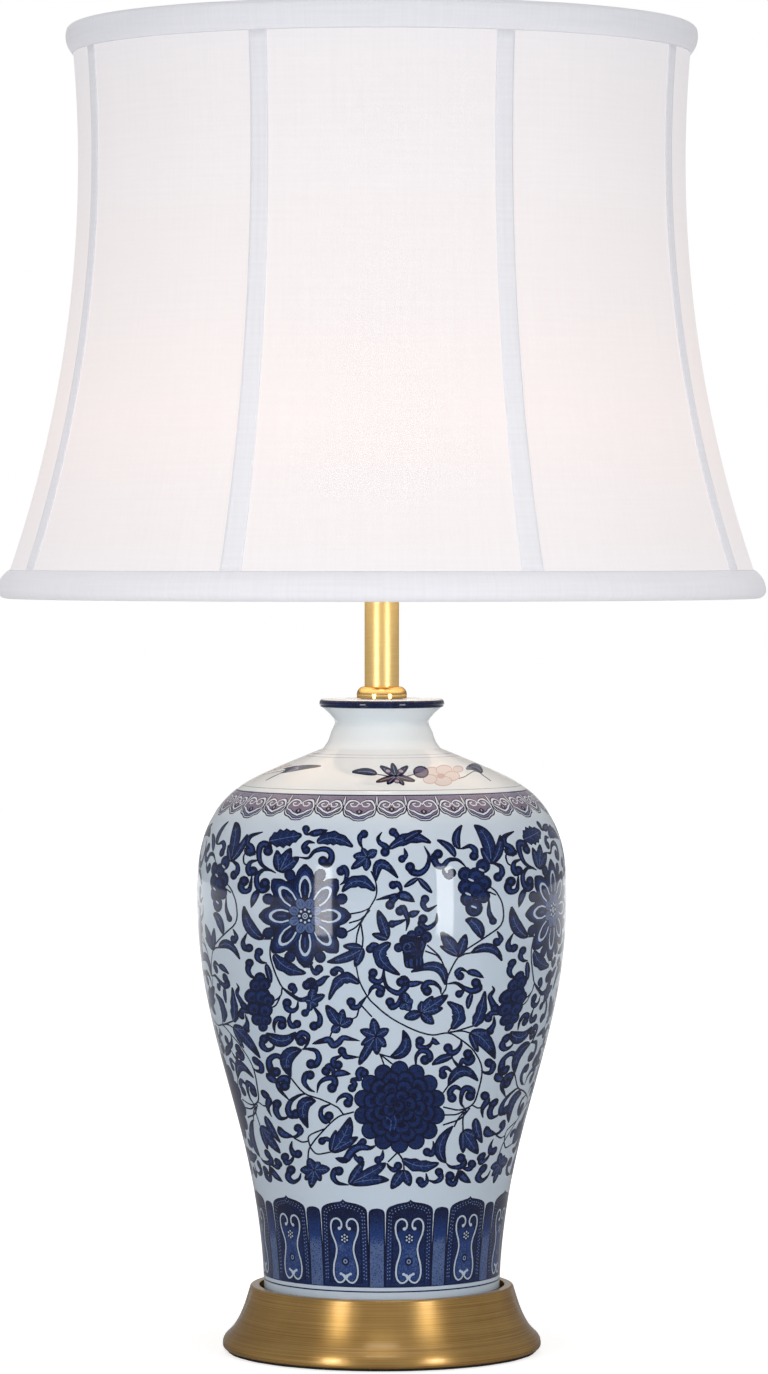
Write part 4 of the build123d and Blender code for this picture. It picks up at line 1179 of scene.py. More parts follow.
    def cut(self, rows, columns):
        """Cuts the repeat along the outlines that show; gives its places, triangles and tones."""
        round_steps = np.linspace(self.left, self.left + self.period, columns + 1)
        side = np.concatenate([[self.low], rows * MM, [self.high]])
        border = [[(u, level) for u in round_steps] for level in (self.low, self.high)]
        border += [[(u, level) for level in side] for u in (self.left, self.left + self.period)]
        outlines = [np.vstack([shape, shape[:1]]) for shape, _ in self.shapes]
        corners, triangles, tones = self.divide(border + outlines, [])
        shown = chains(tone_edges(corners, triangles, tones))
        shown = [stepped(thinned(line, OUTLINE_SLACK), LONGEST_EDGE) for line in shown]
        coarse = round_steps[2:-1:2]
        grid = []
        for number, level in enumerate(side[1:-1]):
            shift = (coarse[1] - coarse[0]) / 4 * (-1) ** number
            grid.extend((u + shift, level) for u in coarse)
        return self.divide(border + shown, grid)

    def divide(self, lines, loose):
        """Triangles between lines and loose points, with the tone of the top shape on each."""
        points = []
        edges = []
        for line in lines:
            first = len(points)
            points.extend(map(tuple, line))
            edges.extend((i, i + 1) for i in range(first, len(points) - 1))
        points.extend(loose)
        corners, _, triangles, *_ = delaunay_2d_cdt(
            [Vector(p) for p in points], edges, [], 0, 1e-4, False)
        corners = np.array([tuple(c) for c in corners])
        triangles = np.array(triangles)
        middles = corners[triangles].mean(axis=1)
        inside = ((middles[:, 0] > self.left) & (middles[:, 0] < self.left + self.period)
                  & (middles[:, 1] > self.low) & (middles[:, 1] < self.high))
        triangles = triangles[inside]
        middles = middles[inside]
        tones = np.zeros(len(triangles))
        for shape, tone in self.shapes:
            low, high = shape.min(axis=0), shape.max(axis=0)
            near = np.flatnonzero(((middles >= low) & (middles <= high)).all(axis=1))
            if len(near):
                tones[near[within(middles[near], shape)]] = tone
        return corners, triangles, tones


def tone_edges(corners, triangles, tones):
    """The edges between triangles of different tone, as pairs of places."""
    edges = np.sort(np.vstack([triangles[:, pair] for pair in ([0, 1], [1, 2], [2, 0])]), axis=1)
    owner = np.tile(np.arange(len(triangles)), 3)
    order = np.lexsort((edges[:, 1], edges[:, 0]))
    edges, owner = edges[order], owner[order]
    twin = np.flatnonzero((edges[1:] == edges[:-1]).all(axis=1))
    differ = np.abs(tones[owner[twin]] - tones[owner[twin + 1]]) > 0.01
    return [(tuple(corners[a]), tuple(corners[b])) for a, b in edges[twin[differ]]]


def chains(edges):
    """Joins edges into lines that run from one meeting of lines to the next."""
    beside = {}
    for a, b in edges:
        beside.setdefault(a, []).append(b)
        beside.setdefault(b, []).append(a)
    used = set()
    lines = []

    def follow(start, step):
        line = [start, step]
        used.add(frozenset((start, step)))
        while len(beside[line[-1]]) == 2 and line[-1] != start:
            ahead = next(p for p in beside[line[-1]] if p != line[-2])
            if frozenset((line[-1], ahead)) in used:
                break
            used.add(frozenset((line[-1], ahead)))
            line.append(ahead)
        return np.array(line)

    meetings = [p for p in beside if len(beside[p]) != 2]
    for start in meetings + list(beside):
        for step in beside[start]:
            if frozenset((start, step)) not in used:
                lines.append(follow(start, step))
    return lines


def paint_lotus(painting):
    """An open lotus: scalloped petals with white loops, small lobes between them, and a rosette."""
    x, y, across, up = LOTUS

    def at(angle, reach, aside=0.0):
        return (x + across * (reach * math.sin(angle) + aside * math.cos(angle)),
                y - up * (reach * math.cos(angle) - aside * math.sin(angle)))

    def ray(angle, first, last, count):
        return np.array([at(angle, reach) for reach in np.linspace(first, last, count)])

    def petal(angle, reach, length, width, tone, count=12):
        cx, cy = at(angle, reach)
        painting.lay(oval(cx, cy, across * width, up * length, angle, count), tone)

    turns = [step * math.tau / 8 for step in range(8)]
    between = [angle + math.tau / 16 for angle in turns]
    swell = np.sin(np.pi * np.linspace(0.22, 0.985, 17)) ** 0.7
    scallop = swell * (1 + 0.07 * np.cos(np.linspace(0, 7 * np.pi, 17)))
    painting.lay(oval(x, y, across * 0.8, up * 0.8, count=32), 1.0)
    for angle in between:
        petal(angle, 0.87, 0.125, 0.13, 1.0)
        petal(angle, 0.86, 0.085, 0.085, 0.86)
    for angle in turns:
        painting.lay(brush(ray(angle, 0.2, 1.02, 17), 26.5 * scallop), 1.0)
    for angle in turns:
        painting.lay(brush(ray(angle, 0.24, 0.97, 17), 22.5 * scallop), 0.9)
        painting.lay(brush(ray(angle, 0.28, 0.88, 9), 18.5 * swell[::2]), 0.68)
        for side in (-1, 1):
            vein = [at(angle, reach, side * 0.165 * bend)
                    for reach, bend in ((0.4, 0.8), (0.62, 1.05), (0.8, 0.6))]
            painting.lay(brush(smooth_line(vein, 3), np.full(7, 0.8)), 0.95)
        loop = [(0.36, 0.085), (0.5, 0.118), (0.64, 0.106), (0.735, 0.055), (0.762, 0.0)]
        line = smooth_line([at(angle, reach, aside) for reach, aside in loop]
                           + [at(angle, reach, -aside) for reach, aside in loop[-2::-1]], 3)
        painting.lay(line, 0.92)
        thick = 1.5 + 1.5 * np.sin(np.linspace(0, np.pi, len(line))) ** 4
        painting.lay(brush(line, thick), 0.05)
        painting.lay(brush(ray(angle, 0.42, 0.62, 3), (1.6, 2.2, 0.8)), 0.62)
    painting.lay(oval(x, y, across * 0.37, up * 0.37, count=24), 1.0)
    for angle in between:
        petal(angle, 0.255, 0.105, 0.1, 0.5)
        for side in (-1, 1):
            fold = [at(angle, 0.2, side * 0.03), at(angle, 0.3, side * 0.045)]
            painting.lay(brush(np.array(fold), (0.6, 0.6)), 0.8)
    painting.lay(oval(x, y, across * 0.165, up * 0.165, count=18), 0.95)
    for angle in turns:
        petal(angle, 0.125, 0.026, 0.028, 0.05, 7)
    for share, tone in ((0.06, 0.1), (0.04, 0.95), (0.02, 0.1)):
        painting.lay(oval(x, y, across * share, up * share, count=10), tone)


def paint_peony(painting):
    """A full peony with rows of petals, each darker at its edge."""
    x, y, across, up = PEONY

    def petal(angle, reach, size, tone, count, wide=1.0, high=1.0, turn=0.0):
        cx, cy = x + across * reach * math.sin(angle), y - up * reach * math.cos(angle)
        painting.lay(oval(cx, cy, across * size * wide, up * size * high, turn, count), tone)

    rim = [step * math.tau / 14 for step in range(14)]
    for angle in rim:
        petal(angle, 0.83, 0.205, 1.0, 16)
    painting.lay(oval(x, y, across * 0.88, up * 0.88, count=40), 1.0)
    for angle in rim:
        petal(angle, 0.84, 0.165, 0.84, 12)
    for count, reach, size in ((12, 0.66, 0.20), (9, 0.46, 0.19), (6, 0.26, 0.17), (1, 0.0, 0.14)):
        for step in range(count):
            angle = (step + 0.37 * count) * math.tau / count
            petal(angle, reach, size, 1.0, 16, 1.0, 0.86, angle)
            petal(angle, reach - 0.015, size, 0.82, 14, 0.78, 0.64, angle)
            petal(angle, reach - 0.05, size, 0.97, 10, 0.45, 0.36, angle)
    for points in ([(386, 1117), (391, 1121), (390, 1131)], [(394, 1115), (396, 1122), (394, 1130)]):
        painting.lay(brush(smooth_line(points), np.full(9, 1.5)), 0.62)


def paint_cup_bud(painting):
    """A bud with round lobes above a folded cup."""
    painting.lobes(CUP_LOBES)
    painting.lay(smooth_line(CUP_BODY + CUP_BODY[:1], 3), 1.0)
    painting.lay(oval(416, 953, 6.4, 3.6, 0.3, 12), 0.9)
    for low, middle, high, width in CUP_FOLDS:
        painting.lay(brush(smooth_line([low, middle, high], 3), np.full(7, width)), 0.68)
    painting.stroke(CUP_SCROLL, 1.5, 0.62)


def paint_scroll(painting):
    """The lotus scroll of the body."""
    for points in STEMS:
        painting.stroke(points, STEM_WIDTH, 1.0)
    for points in CURLS:
        painting.curl(points)
    for width, points in FLAMES:
        painting.flame(width, points)
    for leaf in LEAVES:
        painting.leaves([leaf])
    for base, tips in SPRAYS:
        painting.spray(base, tips)
    painting.lobes(BERRIES)
    for x, y in BERRY_LIGHTS:
        painting.lay(oval(x, y, 3.2, 1.1, 0.4, 8), 0.08)
    painting.lobes(SCALLOP_BUD)
    paint_cup_bud(painting)
    paint_lotus(painting)
    paint_peony(painting)


def paint_lappets(painting, layout):
    """Petal panels that stand round the foot, with narrow stippled strips between them."""
    floor = 1287.0
    half_width = 24.4

    def panel(inset):
        half = half_width - inset
        side = [(half, 1213 + inset), (half * 0.96, 1209.4 + inset), (half * 0.84, 1206.6 + inset),
                (half * 0.55, 1204.0 + inset), (half * 0.24, 1202.8 + inset), (half * 0.09, 1201.8 + inset),
                (0.0, 1199.8 + 1.05 * inset)]
        return mirrored(np.vstack([[(half, floor - 0.5 * inset)], smooth_line(side, 3)]))

    def strip(inset):
        half = 8.4 - inset
        side = [(half, 1215 + inset), (half * 0.88, 1211.2 + inset), (half * 0.55, 1209.2 + inset),
                (0.0, 1208.4 + inset)]
        return mirrored(np.vstack([[(half, floor + 1 - 0.5 * inset)], smooth_line(side, 3)]))

    lyre = [(5.6, 1229.4), (3.2, 1228.0), (2.8, 1223.6), (5.2, 1220.2), (9.4, 1219.4), (13.2, 1222.4),
            (14.4, 1228), (13.2, 1235.4), (10.2, 1242.4), (8.7, 1250), (10.0, 1257.6), (12.0, 1264.6),
            (12.8, 1272.6), (11.4, 1279.4), (7.8, 1283.2), (3.6, 1282.6), (0.6, 1279.6)]
    leaf_curl = [(0.0, 1279.6), (1.4, 1276.6), (3.4, 1275.4), (5.4, 1274.2)]
    for number in range(layout.lappet_count // painting.repeats):
        pitch = 360 / layout.lappet_count
        angle = layout.lappet_angle + pitch * (number - 1)
        place = painting.beside(angle + pitch / 2)
        painting.lay(strip(0.0), 1.0, place)
        painting.lay(strip(1.5), STRIP_TONE, place)
        for dot in range(30):
            across = 5.0 * math.sin(dot * 2.4)
            painting.lay(oval(across, 1222 + dot * 2.05, 0.62, 0.62, count=5), 0.9, place)
        place = painting.beside(angle)
        painting.lay(panel(0.0), 1.0, place)
        painting.lay(panel(1.6), 0.82, place)
        border_dots(painting, panel(3.2), place, 0.018)
        border_dots(painting, panel(5.4), place, 0.020)
        painting.lay(panel(7.0), 1.0, place)
        painting.lay(panel(8.2), 0.86, place)
        painting.lay(mirrored(smooth_line([(0.0, 1232), (8.0, 1231)] + lyre[7:], 3)), 0.6, place)
        for side in (-1, 1):
            painting.stroke([(x * side, y) for x, y in lyre], 3.4, 1.0, place)
        for side in (-1, 1):
            painting.stroke([(x * side, y) for x, y in lyre], 1.7, 0.06, place)
            painting.lay(oval(5.2 * side, 1229.2, 1.9, 1.7, count=9), 0.06, place)
            line = smooth_line([(x * side, y) for x, y in leaf_curl], 3)
            painting.lay(brush(line, np.linspace(3.4, 1.6, len(line))), 0.06, place)
            painting.lay(oval(5.0 * side, 1274.6, 1.5, 1.4, count=9), 0.06, place)
        painting.lay(oval(0, 1239, 5.0, 5.4, count=14), 0.98, place)
        for step in range(6):
            turn = step * math.tau / 6
            x, y = 3.1 * math.sin(turn), 1239 - 3.3 * math.cos(turn)
            painting.lay(oval(x, y, 1.05, 1.05, count=7), 0.1, place)
        painting.lay(oval(0, 1239, 1.1, 1.1, count=7), 0.1, place)
        painting.lay(oval(0, 1262, 4.0, 4.4, count=12), 1.0, place)
        painting.lay(oval(0, 1262, 2.3, 2.5, count=10), 0.25, place)
        painting.lay(oval(0, 1262, 1.2, 1.3, count=7), 1.0, place)


def border_dots(painting, line, place, apart):
    """A row of pale dots along the border of a panel."""
    share = shares_of(line)
    for step in np.arange(0.03, 0.98, apart):
        x, y = (np.interp(step, share, line[:, i]) for i in (0, 1))
        painting.lay(oval(x, y, 0.72, 0.72, count=4), 0.34, place)


def paint_ruyi(painting, layout):
    """A border of large and small cloud heads that hang below a line."""
    def plate(wide, low, inset):
        half = wide - inset
        side = [(0.0, low - inset), (half * 0.3, low - 0.5 - inset), (half * 0.46, low - 2.2 - inset),
                (half * 0.58, low - 3.4 - inset), (half * 0.8, low - 4.4 - inset),
                (half * 0.95, low - 7.0 - inset), (half, low - 10.5 - inset)]
        return mirrored(np.vstack([smooth_line(side, 2), [(half, 796.5)]]))

    def heart(half, top, low, inset):
        wide = half - inset
        side = [(0.0, low - 1.2 * inset), (wide * 0.42, low - 2.2 - inset), (wide * 0.66, low - 4.6 - inset),
                (wide * 0.95, low - 7.0), (wide, (top + low) / 2 - 1.6), (wide * 0.78, top + 1.0 + inset),
                (wide * 0.45, top + inset), (wide * 0.14, top + 1.6 + inset), (0.0, top + 4.0 + inset)]
        return mirrored(smooth_line(side, 3))

    heads = layout.ruyi_count // painting.repeats
    pitch = 360 / layout.ruyi_count
    sizes = ((0.5, 15.4, 818.6, 13.4, 800.4, 814.2), (0.0, 17.2, 821.6, 15.6, 800.0, 816.8))
    places = [(painting.beside(layout.ruyi_angle + pitch * (number + size[0] - 1)), size)
              for number in range(heads) for size in sizes]
    for inset, tone in ((0.0, 0.95), (1.1, 0.03), (1.9, 0.9), (2.8, 0.52)):
        for place, (_, wide, low, *_) in places:
            painting.lay(plate(wide, low, inset), tone, place)
    for place, (_, wide, low, half, top, tip) in places:
        painting.lay(heart(half, top, tip, -0.8), 0.84, place)
        painting.lay(heart(half, top, tip, 0.0), 0.02, place)
        painting.lay(heart(half, top, tip, 1.4), 0.84, place)
        painting.lay(heart(half, top, tip, 2.2), 0.58, place)
        for side in (-1, 1):
            scroll = [(0.08, 3.4), (0.22, 6.4), (0.5, 6.6), (0.62, 4.2), (0.42, 3.4)]
            line = [(side * half * x, top + y) for x, y in scroll]
            painting.stroke(line, 1.0, 0.03, place)
        bud = [(0.0, tip - 2.6), (half * 0.2, tip - 4.0), (half * 0.2, tip - 6.0), (0.0, tip - 7.4)]
        painting.lay(mirrored(smooth_line(bud, 2)), 1.0, place)
        painting.lay(oval(0, tip - 5.0, 1.0, 1.2, count=7), 0.3, place)


def paint_shoulder_spray(painting):
    """A flowering spray on the shoulder."""
    painting.stroke([(376, 774), (388, 776), (400, 777), (412, 775), (421, 772)], 0.9, 0.95)
    painting.stroke([(452, 780), (464, 777), (475, 771), (484, 776), (491, 781)], 0.9, 0.9)
    for x, y, across, up in ((432, 772, 8, 5.4), (444, 770, 8.5, 5.4), (452, 776, 8, 5.2),
                             (443, 781, 9.5, 5.2), (430, 779, 7.5, 5), (458, 769, 5.5, 3.6)):
        painting.lay(oval(x, y, across, up, count=16), 0.2)
        painting.lay(oval(x, y, across - 1.0, up - 1.0, count=14), 0.1)
    painting.lay(oval(441, 776, 4.0, 2.6, count=10), 0.22)
    painting.leaves([((377, 774), (366, 771.5), (352, 772), 5.4, 0),
                     ((482, 773), (475, 767), (466, 769), 6, 0)])
    painting.spray((396, 776), [((380, 766), 5), ((392, 763), 5), ((408, 766), 5), ((415, 781), 4),
                                ((404, 785), 3.6), ((387, 784), 4.6), ((376, 782), 3.6)])
    for x, y in ((388, 771), (401, 771), (397, 781)):
        painting.lay(oval(x, y, 3.6, 2.4, 0.2, 10), 0.85)
        painting.lay(oval(x, y, 2.4, 1.5, 0.2, 9), 0.3)
    painting.lay(oval(421, 772, 8.0, 6.2, 0.1, 16), 0.95)
    painting.lay(oval(421, 772, 6.4, 4.6, 0.1, 14), 0.66)
    painting.stroke([(416, 773), (421, 772), (426, 771)], 0.7, 0.95)


# Operators

class LAMP_OT_stage(bpy.types.Operator):
    """Sets the camera, the lights and the white floor and background"""
    bl_idname = "lamp.stage"
    bl_label = "Stage"

    def execute(self, context):
        scene = context.scene
        stage = scene.lamp_stage
        scene.view_settings.view_transform = "Standard"
        self.add_camera(scene, stage)
        self.add_lights(stage)
        self.add_room(scene, stage)
        self.add_floor()
        return {"FINISHED"}

    def add_camera(self, scene, stage):
        data = bpy.data.cameras.new("Front camera")
        data.sensor_fit = "VERTICAL"
        data.sensor_height = SENSOR_HEIGHT
        data.lens = stage.lens
        data.shift_x = (PICTURE_WIDTH / 2 - stage.axis_column) / PICTURE_HEIGHT
        data.shift_y = (stage.horizon_row - PICTURE_HEIGHT / 2) / PICTURE_HEIGHT
        data.clip_end = 50.0
        camera = add_object("Front camera", data)
        camera.location = (0.0, -stage.camera_distance, stage.camera_height)
        camera.rotation_euler = (math.radians(90), 0.0, 0.0)
        scene.camera = camera

    def add_lights(self, stage):
        aim = Vector((0.0, 0.0, 0.22))
        plan = [("Left strip", (-0.70, -1.00, 0.27), 0.23, 0.50, stage.left_power),
                ("Right strip", (0.76, -0.97, 0.27), 0.23, 0.50, stage.right_power),
                ("Top softbox", (0.0, -0.8, 2.0), 0.6, 0.8, stage.top_power)]
        for name, place, wide, high, power in plan:
            light = self.area_light(name, "RECTANGLE", place, wide, power)
            light.data.size_y = high
            light.rotation_euler = (aim - light.location).to_track_quat("-Z", "Y").to_euler()
        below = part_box("fitter_ring")[0].z - 0.016
        glow = self.area_light("Glow below the shade", "DISK", (0.0, 0.0, below), 0.28, stage.glow_power)
        glow.data.color = (1.0, 0.66, 0.42)
        glow.visible_camera = False

    def area_light(self, name, shape, place, wide, power):
        data = bpy.data.lights.new(name, "AREA")
        data.shape = shape
        data.size = wide
        data.energy = power
        light = add_object(name, data)
        light.location = place
        return light

    def seen_rays(self, tree):
        """One for the rays that show the background: from the camera, in gloss and through glass."""
        path = add_node(tree, "ShaderNodeLightPath").outputs
        direct = calc(tree, "MAXIMUM", path["Is Camera Ray"], path["Is Glossy Ray"])
        return calc(tree, "MAXIMUM", direct, path["Is Transmission Ray"])

    def add_room(self, scene, stage):
        world = bpy.data.worlds.new("White room")
        world.use_nodes = True
        tree = world.node_tree
        room = tree.nodes["Background"]
        room.inputs["Color"].default_value = WHITE
        room.inputs["Strength"].default_value = stage.room_level
        white = add_node(tree, "ShaderNodeBackground", {"Color": WHITE, "Strength": stage.backdrop})
        path = add_node(tree, "ShaderNodeLightPath").outputs
        depth = parts_of(tree, place_in(tree, "Generated"))["Y"]
        behind = span(tree, depth, 0.985, 0.999, 0.0, 1.0)
        mirrored_rays = calc(tree, "MAXIMUM", path["Is Glossy Ray"], path["Is Transmission Ray"])
        mirrored_white = calc(tree, "MULTIPLY", mirrored_rays, behind)
        shown = calc(tree, "MAXIMUM", path["Is Camera Ray"], mirrored_white)
        mix = add_node(tree, "ShaderNodeMixShader", {0: shown, 1: room.outputs[0], 2: white.outputs[0]})
        feed(tree, tree.nodes["World Output"].inputs["Surface"], mix.outputs[0])
        scene.world = world

    def add_floor(self):
        reach = 6.0
        level = -0.0002
        mesh = bpy.data.meshes.new("Floor")
        mesh.from_pydata([(-reach, -reach, level), (reach, -reach, level), (reach, reach, level),
                          (-reach, reach, level)], [], [(0, 1, 2, 3)])
        material = bpy.data.materials.new("White floor")
        material.use_nodes = True
        tree = material.node_tree
        tree.nodes.clear()
        away = add_node(tree, "ShaderNodeVectorMath", {0: place_in(tree)}, operation="LENGTH")
        far = away.outputs["Value"]
        path = add_node(tree, "ShaderNodeLightPath").outputs
        direct = calc(tree, "MULTIPLY", span(tree, far, 0.10, 0.55, 0.72, 1.0), path["Is Camera Ray"])
        mirrored_floor = span(tree, far, 0.8, 3.0, 0.0, 1.0)
        lift = calc(tree, "MAXIMUM", direct, mirrored_floor)
        matt = add_node(tree, "ShaderNodeBsdfDiffuse", {"Color": (0.66, 0.66, 0.66, 1.0)}).outputs[0]
        glow = add_node(tree, "ShaderNodeEmission", {"Color": WHITE, "Strength": lift}).outputs[0]
        both = add_node(tree, "ShaderNodeAddShader", {0: glow, 1: matt}).outputs[0]
        mix = add_node(tree, "ShaderNodeMixShader", {0: self.seen_rays(tree), 1: matt, 2: both})
        add_node(tree, "ShaderNodeOutputMaterial", {"Surface": mix.outputs[0]})
        mesh.materials.append(material)
        floor = add_object("Floor", mesh)


class LAMP_OT_vase(bpy.types.Operator):
    """Makes the glazed vase with its cobalt painting"""
    bl_idname = "lamp.vase"
    bl_label = "Vase"

    def execute(self, context):
        layout = context.scene.lamp_painting
        form = VaseForm()
        start = layout.field_start
        probe = Painting(form, 0.0, 1.0, start, 1)
        spray_low, spray_high = (probe.length_at_row(row) / MM for row in SPRAY_ROWS)
        body = Painting(form, 0.0, spray_low, start, layout.field_repeats)
        paint_scroll(body)
        paint_lappets(body, layout)
        paint_ruyi(body, layout)
        body.rows_round(BODY_LINES, 0.8)
        spray = Painting(form, spray_low, spray_high, start, layout.spray_repeats)
        paint_shoulder_spray(spray)
        spray.rows_round(SPRAY_LINES, 0.5)
        lip = Painting(form, spray_high, form.along[-1], start, 4)
        lip.line_round(*(MM * np.interp(LIP_BAND, form.height, form.along)), 0.95)
        mesh = self.vase_mesh(form, [(body, 0.004), (spray, 0.003), (lip, 0.003)])
        heights = [np.interp(probe.length_at_row(row) / MM, form.along, form.height)
                   for row in WASH_ROWS + SHOULDER_ROWS]
        material = porcelain_material(context.scene.lamp_finishes, *heights)
        add_piece("painted_vase", mesh, material, "stand", "porcelain", "vase")
        return {"FINISHED"}

    def vase_mesh(self, form, bands):
        """Wraps the bands round the vase and closes its inside."""
        columns = VASE_COLUMNS
        left = bands[0][0].left
        points = []
        places = []
        faces = []
        tones = []
        count = 0
        for band, longest in bands:
            rows = form.rows(band.low / MM, band.high / MM, longest, math.radians(ROW_TURN))
            corners, triangles, shades = band.cut(rows, columns // band.repeats)
            along = corners[:, 1] / MM
            radius = np.interp(along, form.along, form.radius)
            height = np.interp(along, form.along, form.height)
            for turn in range(band.repeats):
                across = corners[:, 0] + turn * band.period
                points.append(round_points(across / TILE_RADIUS, radius, height))
                share = (across - left) / (math.tau * TILE_RADIUS)
                places.append(np.column_stack([share, OUTER_MAP * along / form.along[-1]]))
                faces.extend((triangles + count).tolist())
                tones.append(shades)
                count += len(corners)
        inner = form.inner_profile()
        profile = [(form.radius[-1], form.height[-1])] + inner + [(form.radius[0], form.height[0])]
        profile = np.array(profile)
        angles = left / TILE_RADIUS + np.linspace(0, math.tau, columns + 1)
        points.append(round_points(angles, profile[:, :1], profile[:, 1:]).reshape(-1, 3))
        share = np.linspace(0, 1, columns + 1)
        start, part = INNER_MAP
        up = start + part * shares_of(profile)[:, None]
        places.append(paired(share, up).reshape(-1, 2))
        faces.extend(grid_quads(len(profile), columns + 1, False, count).tolist())
        tones.append(np.zeros((len(profile) - 1) * columns))
        return self.welded(form, np.vstack(points), np.vstack(places), faces, np.concatenate(tones))

    def welded(self, form, points, places, faces, tones):
        """One closed mesh, with the tones on its faces and the true slopes of the profile."""
        mesh = bpy.data.meshes.new("painted_vase")
        mesh.from_pydata(points.tolist(), [], faces)
        layer = mesh.uv_layers.new(name="OFBake")
        order = np.empty(len(mesh.loops), int)
        mesh.loops.foreach_get("vertex_index", order)
        layer.data.foreach_set("uv", places[order].ravel())
        mesh.attributes.new("cobalt", "FLOAT", "FACE").data.foreach_set("value", tones)
        soft = bmesh.new()
        soft.from_mesh(mesh)
        bmesh.ops.remove_doubles(soft, verts=soft.verts, dist=WELD_GAP)
        loose = [vertex for vertex in soft.verts if not vertex.link_faces]
        bmesh.ops.delete(soft, geom=loose, context="VERTS")
        soft.to_mesh(mesh)
        soft.free()
        mesh.polygons.foreach_set("use_smooth", [True] * len(mesh.polygons))
        mesh.set_sharp_from_angle(angle=math.radians(SHARP_EDGE))
        where = np.empty(len(mesh.vertices) * 3)
        mesh.vertices.foreach_get("co", where)
        where = where.reshape(-1, 3)
        radius = np.hypot(where[:, 0], where[:, 1])
        outer = np.interp(where[:, 2], form.height, form.radius)
        slope = np.column_stack([np.interp(where[:, 2], form.height, form.facing[:, i]) for i in (0, 1)])
        normals = np.column_stack([where[:, :2] / np.maximum(radius, 1e-6)[:, None] * slope[:, :1],
                                   slope[:, 1:]])
        wall = ((np.abs(radius - outer) < 4e-5) & (where[:, 2] < form.top - 1e-5)
                & (where[:, 2] > form.bottom + 0.001))
        normals[~wall] = 0.0
        mesh.normals_split_custom_set_from_vertices(normals.tolist())
        return mesh


class LAMP_OT_foot(bpy.types.Operator):
    """Finishes the brass foot and what is under it"""
    bl_idname = "lamp.foot"
    bl_label = "Foot"

    def execute(self, context):
        finishes = context.scene.lamp_finishes
        dress(turned_material("Brushed antique brass", finishes.brass, finishes.brass_dark, (0.37, 0.47),
                              2600.0, (0.45, 0.36, 0.26), 0.84, lacquer=0.7), "base_shell")
        dress(grainy_material("Zinc plate", (0.55, 0.56, 0.58), (0.42, 0.43, 0.46), 420.0,
                              (0.28, 0.45), 0.1, 1.0),
              "base_plate", "base_plate_screws", "centre_rod", "rod_washer", "rod_nut", "cap_lock_nut")
        dress(grainy_material("Cast iron", (0.10, 0.10, 0.11), (0.06, 0.06, 0.065), 500.0,
                              (0.55, 0.8), 0.6), "base_weight")
        dress(black_moulding(), "cord_bush")
        dress(grainy_material("Gasket rubber", (0.10, 0.09, 0.08), (0.07, 0.063, 0.056), 900.0,
                              (0.7, 0.9), 0.3), "seat_gasket")
        self.add_felt(finishes)
        return {"FINISHED"}

    def add_felt(self, finishes):
        """A felt disc with a soft, slightly frayed edge."""
        low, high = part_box("felt_pad")
        radius = high.x
        thick = high.z - low.z
        columns = 160
        angles = np.linspace(0, math.tau, columns, endpoint=False)
        edge = 1 - 0.003 * (1 + smooth_noise(angles * 23, 1.3))
        shares = np.concatenate([np.linspace(0.02, 0.94, 10), [0.975, 1.0]])
        outer = round_points(angles, (shares * radius)[:, None], high.z)
        inner = round_points(angles, (shares * radius)[:, None], low.z)
        for grid, way in ((outer, -1), (inner, 1)):
            grid[:, :, :2] *= (1 + (edge - 1)[None, :, None] * (shares ** 6)[:, None, None])
            grid[-1, :, 2] += way * thick * 0.2
        place = outer[:, :, :2] + radius
        mesh = sheet_mesh("felt_sole", inner[::-1], outer[::-1], place[::-1], True)
        self.fill_middle(mesh)
        material = grainy_material("Black felt", finishes.felt, (0.02, 0.019, 0.018), 1500.0,
                                   (0.9, 1.0), 0.8)
        sole = add_piece("felt_sole", mesh, material, "stand", "felt", "felt_pad")

    def fill_middle(self, mesh):
        """Closes the small hole at the middle of the disc."""
        hole = 0.003
        soft = bmesh.new()
        soft.from_mesh(mesh)
        wall = [face for face in soft.faces if all(v.co.xy.length < hole for v in face.verts)]
        bmesh.ops.delete(soft, geom=wall, context="FACES")
        open_edges = [edge for edge in soft.edges if edge.is_boundary]
        bmesh.ops.holes_fill(soft, edges=open_edges, sides=0)
        bmesh.ops.recalc_face_normals(soft, faces=soft.faces)
        soft.to_mesh(mesh)
        soft.free()


def black_moulding():
    name = "Black moulding"
    if name in bpy.data.materials:
        return bpy.data.materials[name]
    return grainy_material(name, (0.022, 0.022, 0.023), (0.03, 0.03, 0.03), 700.0, (0.32, 0.5), 0.15)


class LAMP_OT_stem(bpy.types.Operator):
    """Finishes the collar, the stem and the gasket under them"""
    bl_idname = "lamp.stem"
    bl_label = "Stem"

    def execute(self, context):
        finishes = context.scene.lamp_finishes
        dress(turned_material("Satin brass", finishes.stem, (0.78, 0.56, 0.22), (0.36, 0.42), 900.0,
                              (0.75, 0.6, 0.35), relief=0.004, lacquer=0.15), "stem_tube", "stem_bush")
        dress(turned_material("Polished brass", finishes.polished, (0.74, 0.42, 0.14), (0.1, 0.2),
                              1500.0, (0.6, 0.4, 0.2), relief=0.03), "collar")
        dress(grainy_material("Natural nylon", (0.72, 0.72, 0.68), (0.62, 0.62, 0.58), 600.0,
                              (0.35, 0.5), 0.1), "mouth_gasket")
        return {"FINISHED"}


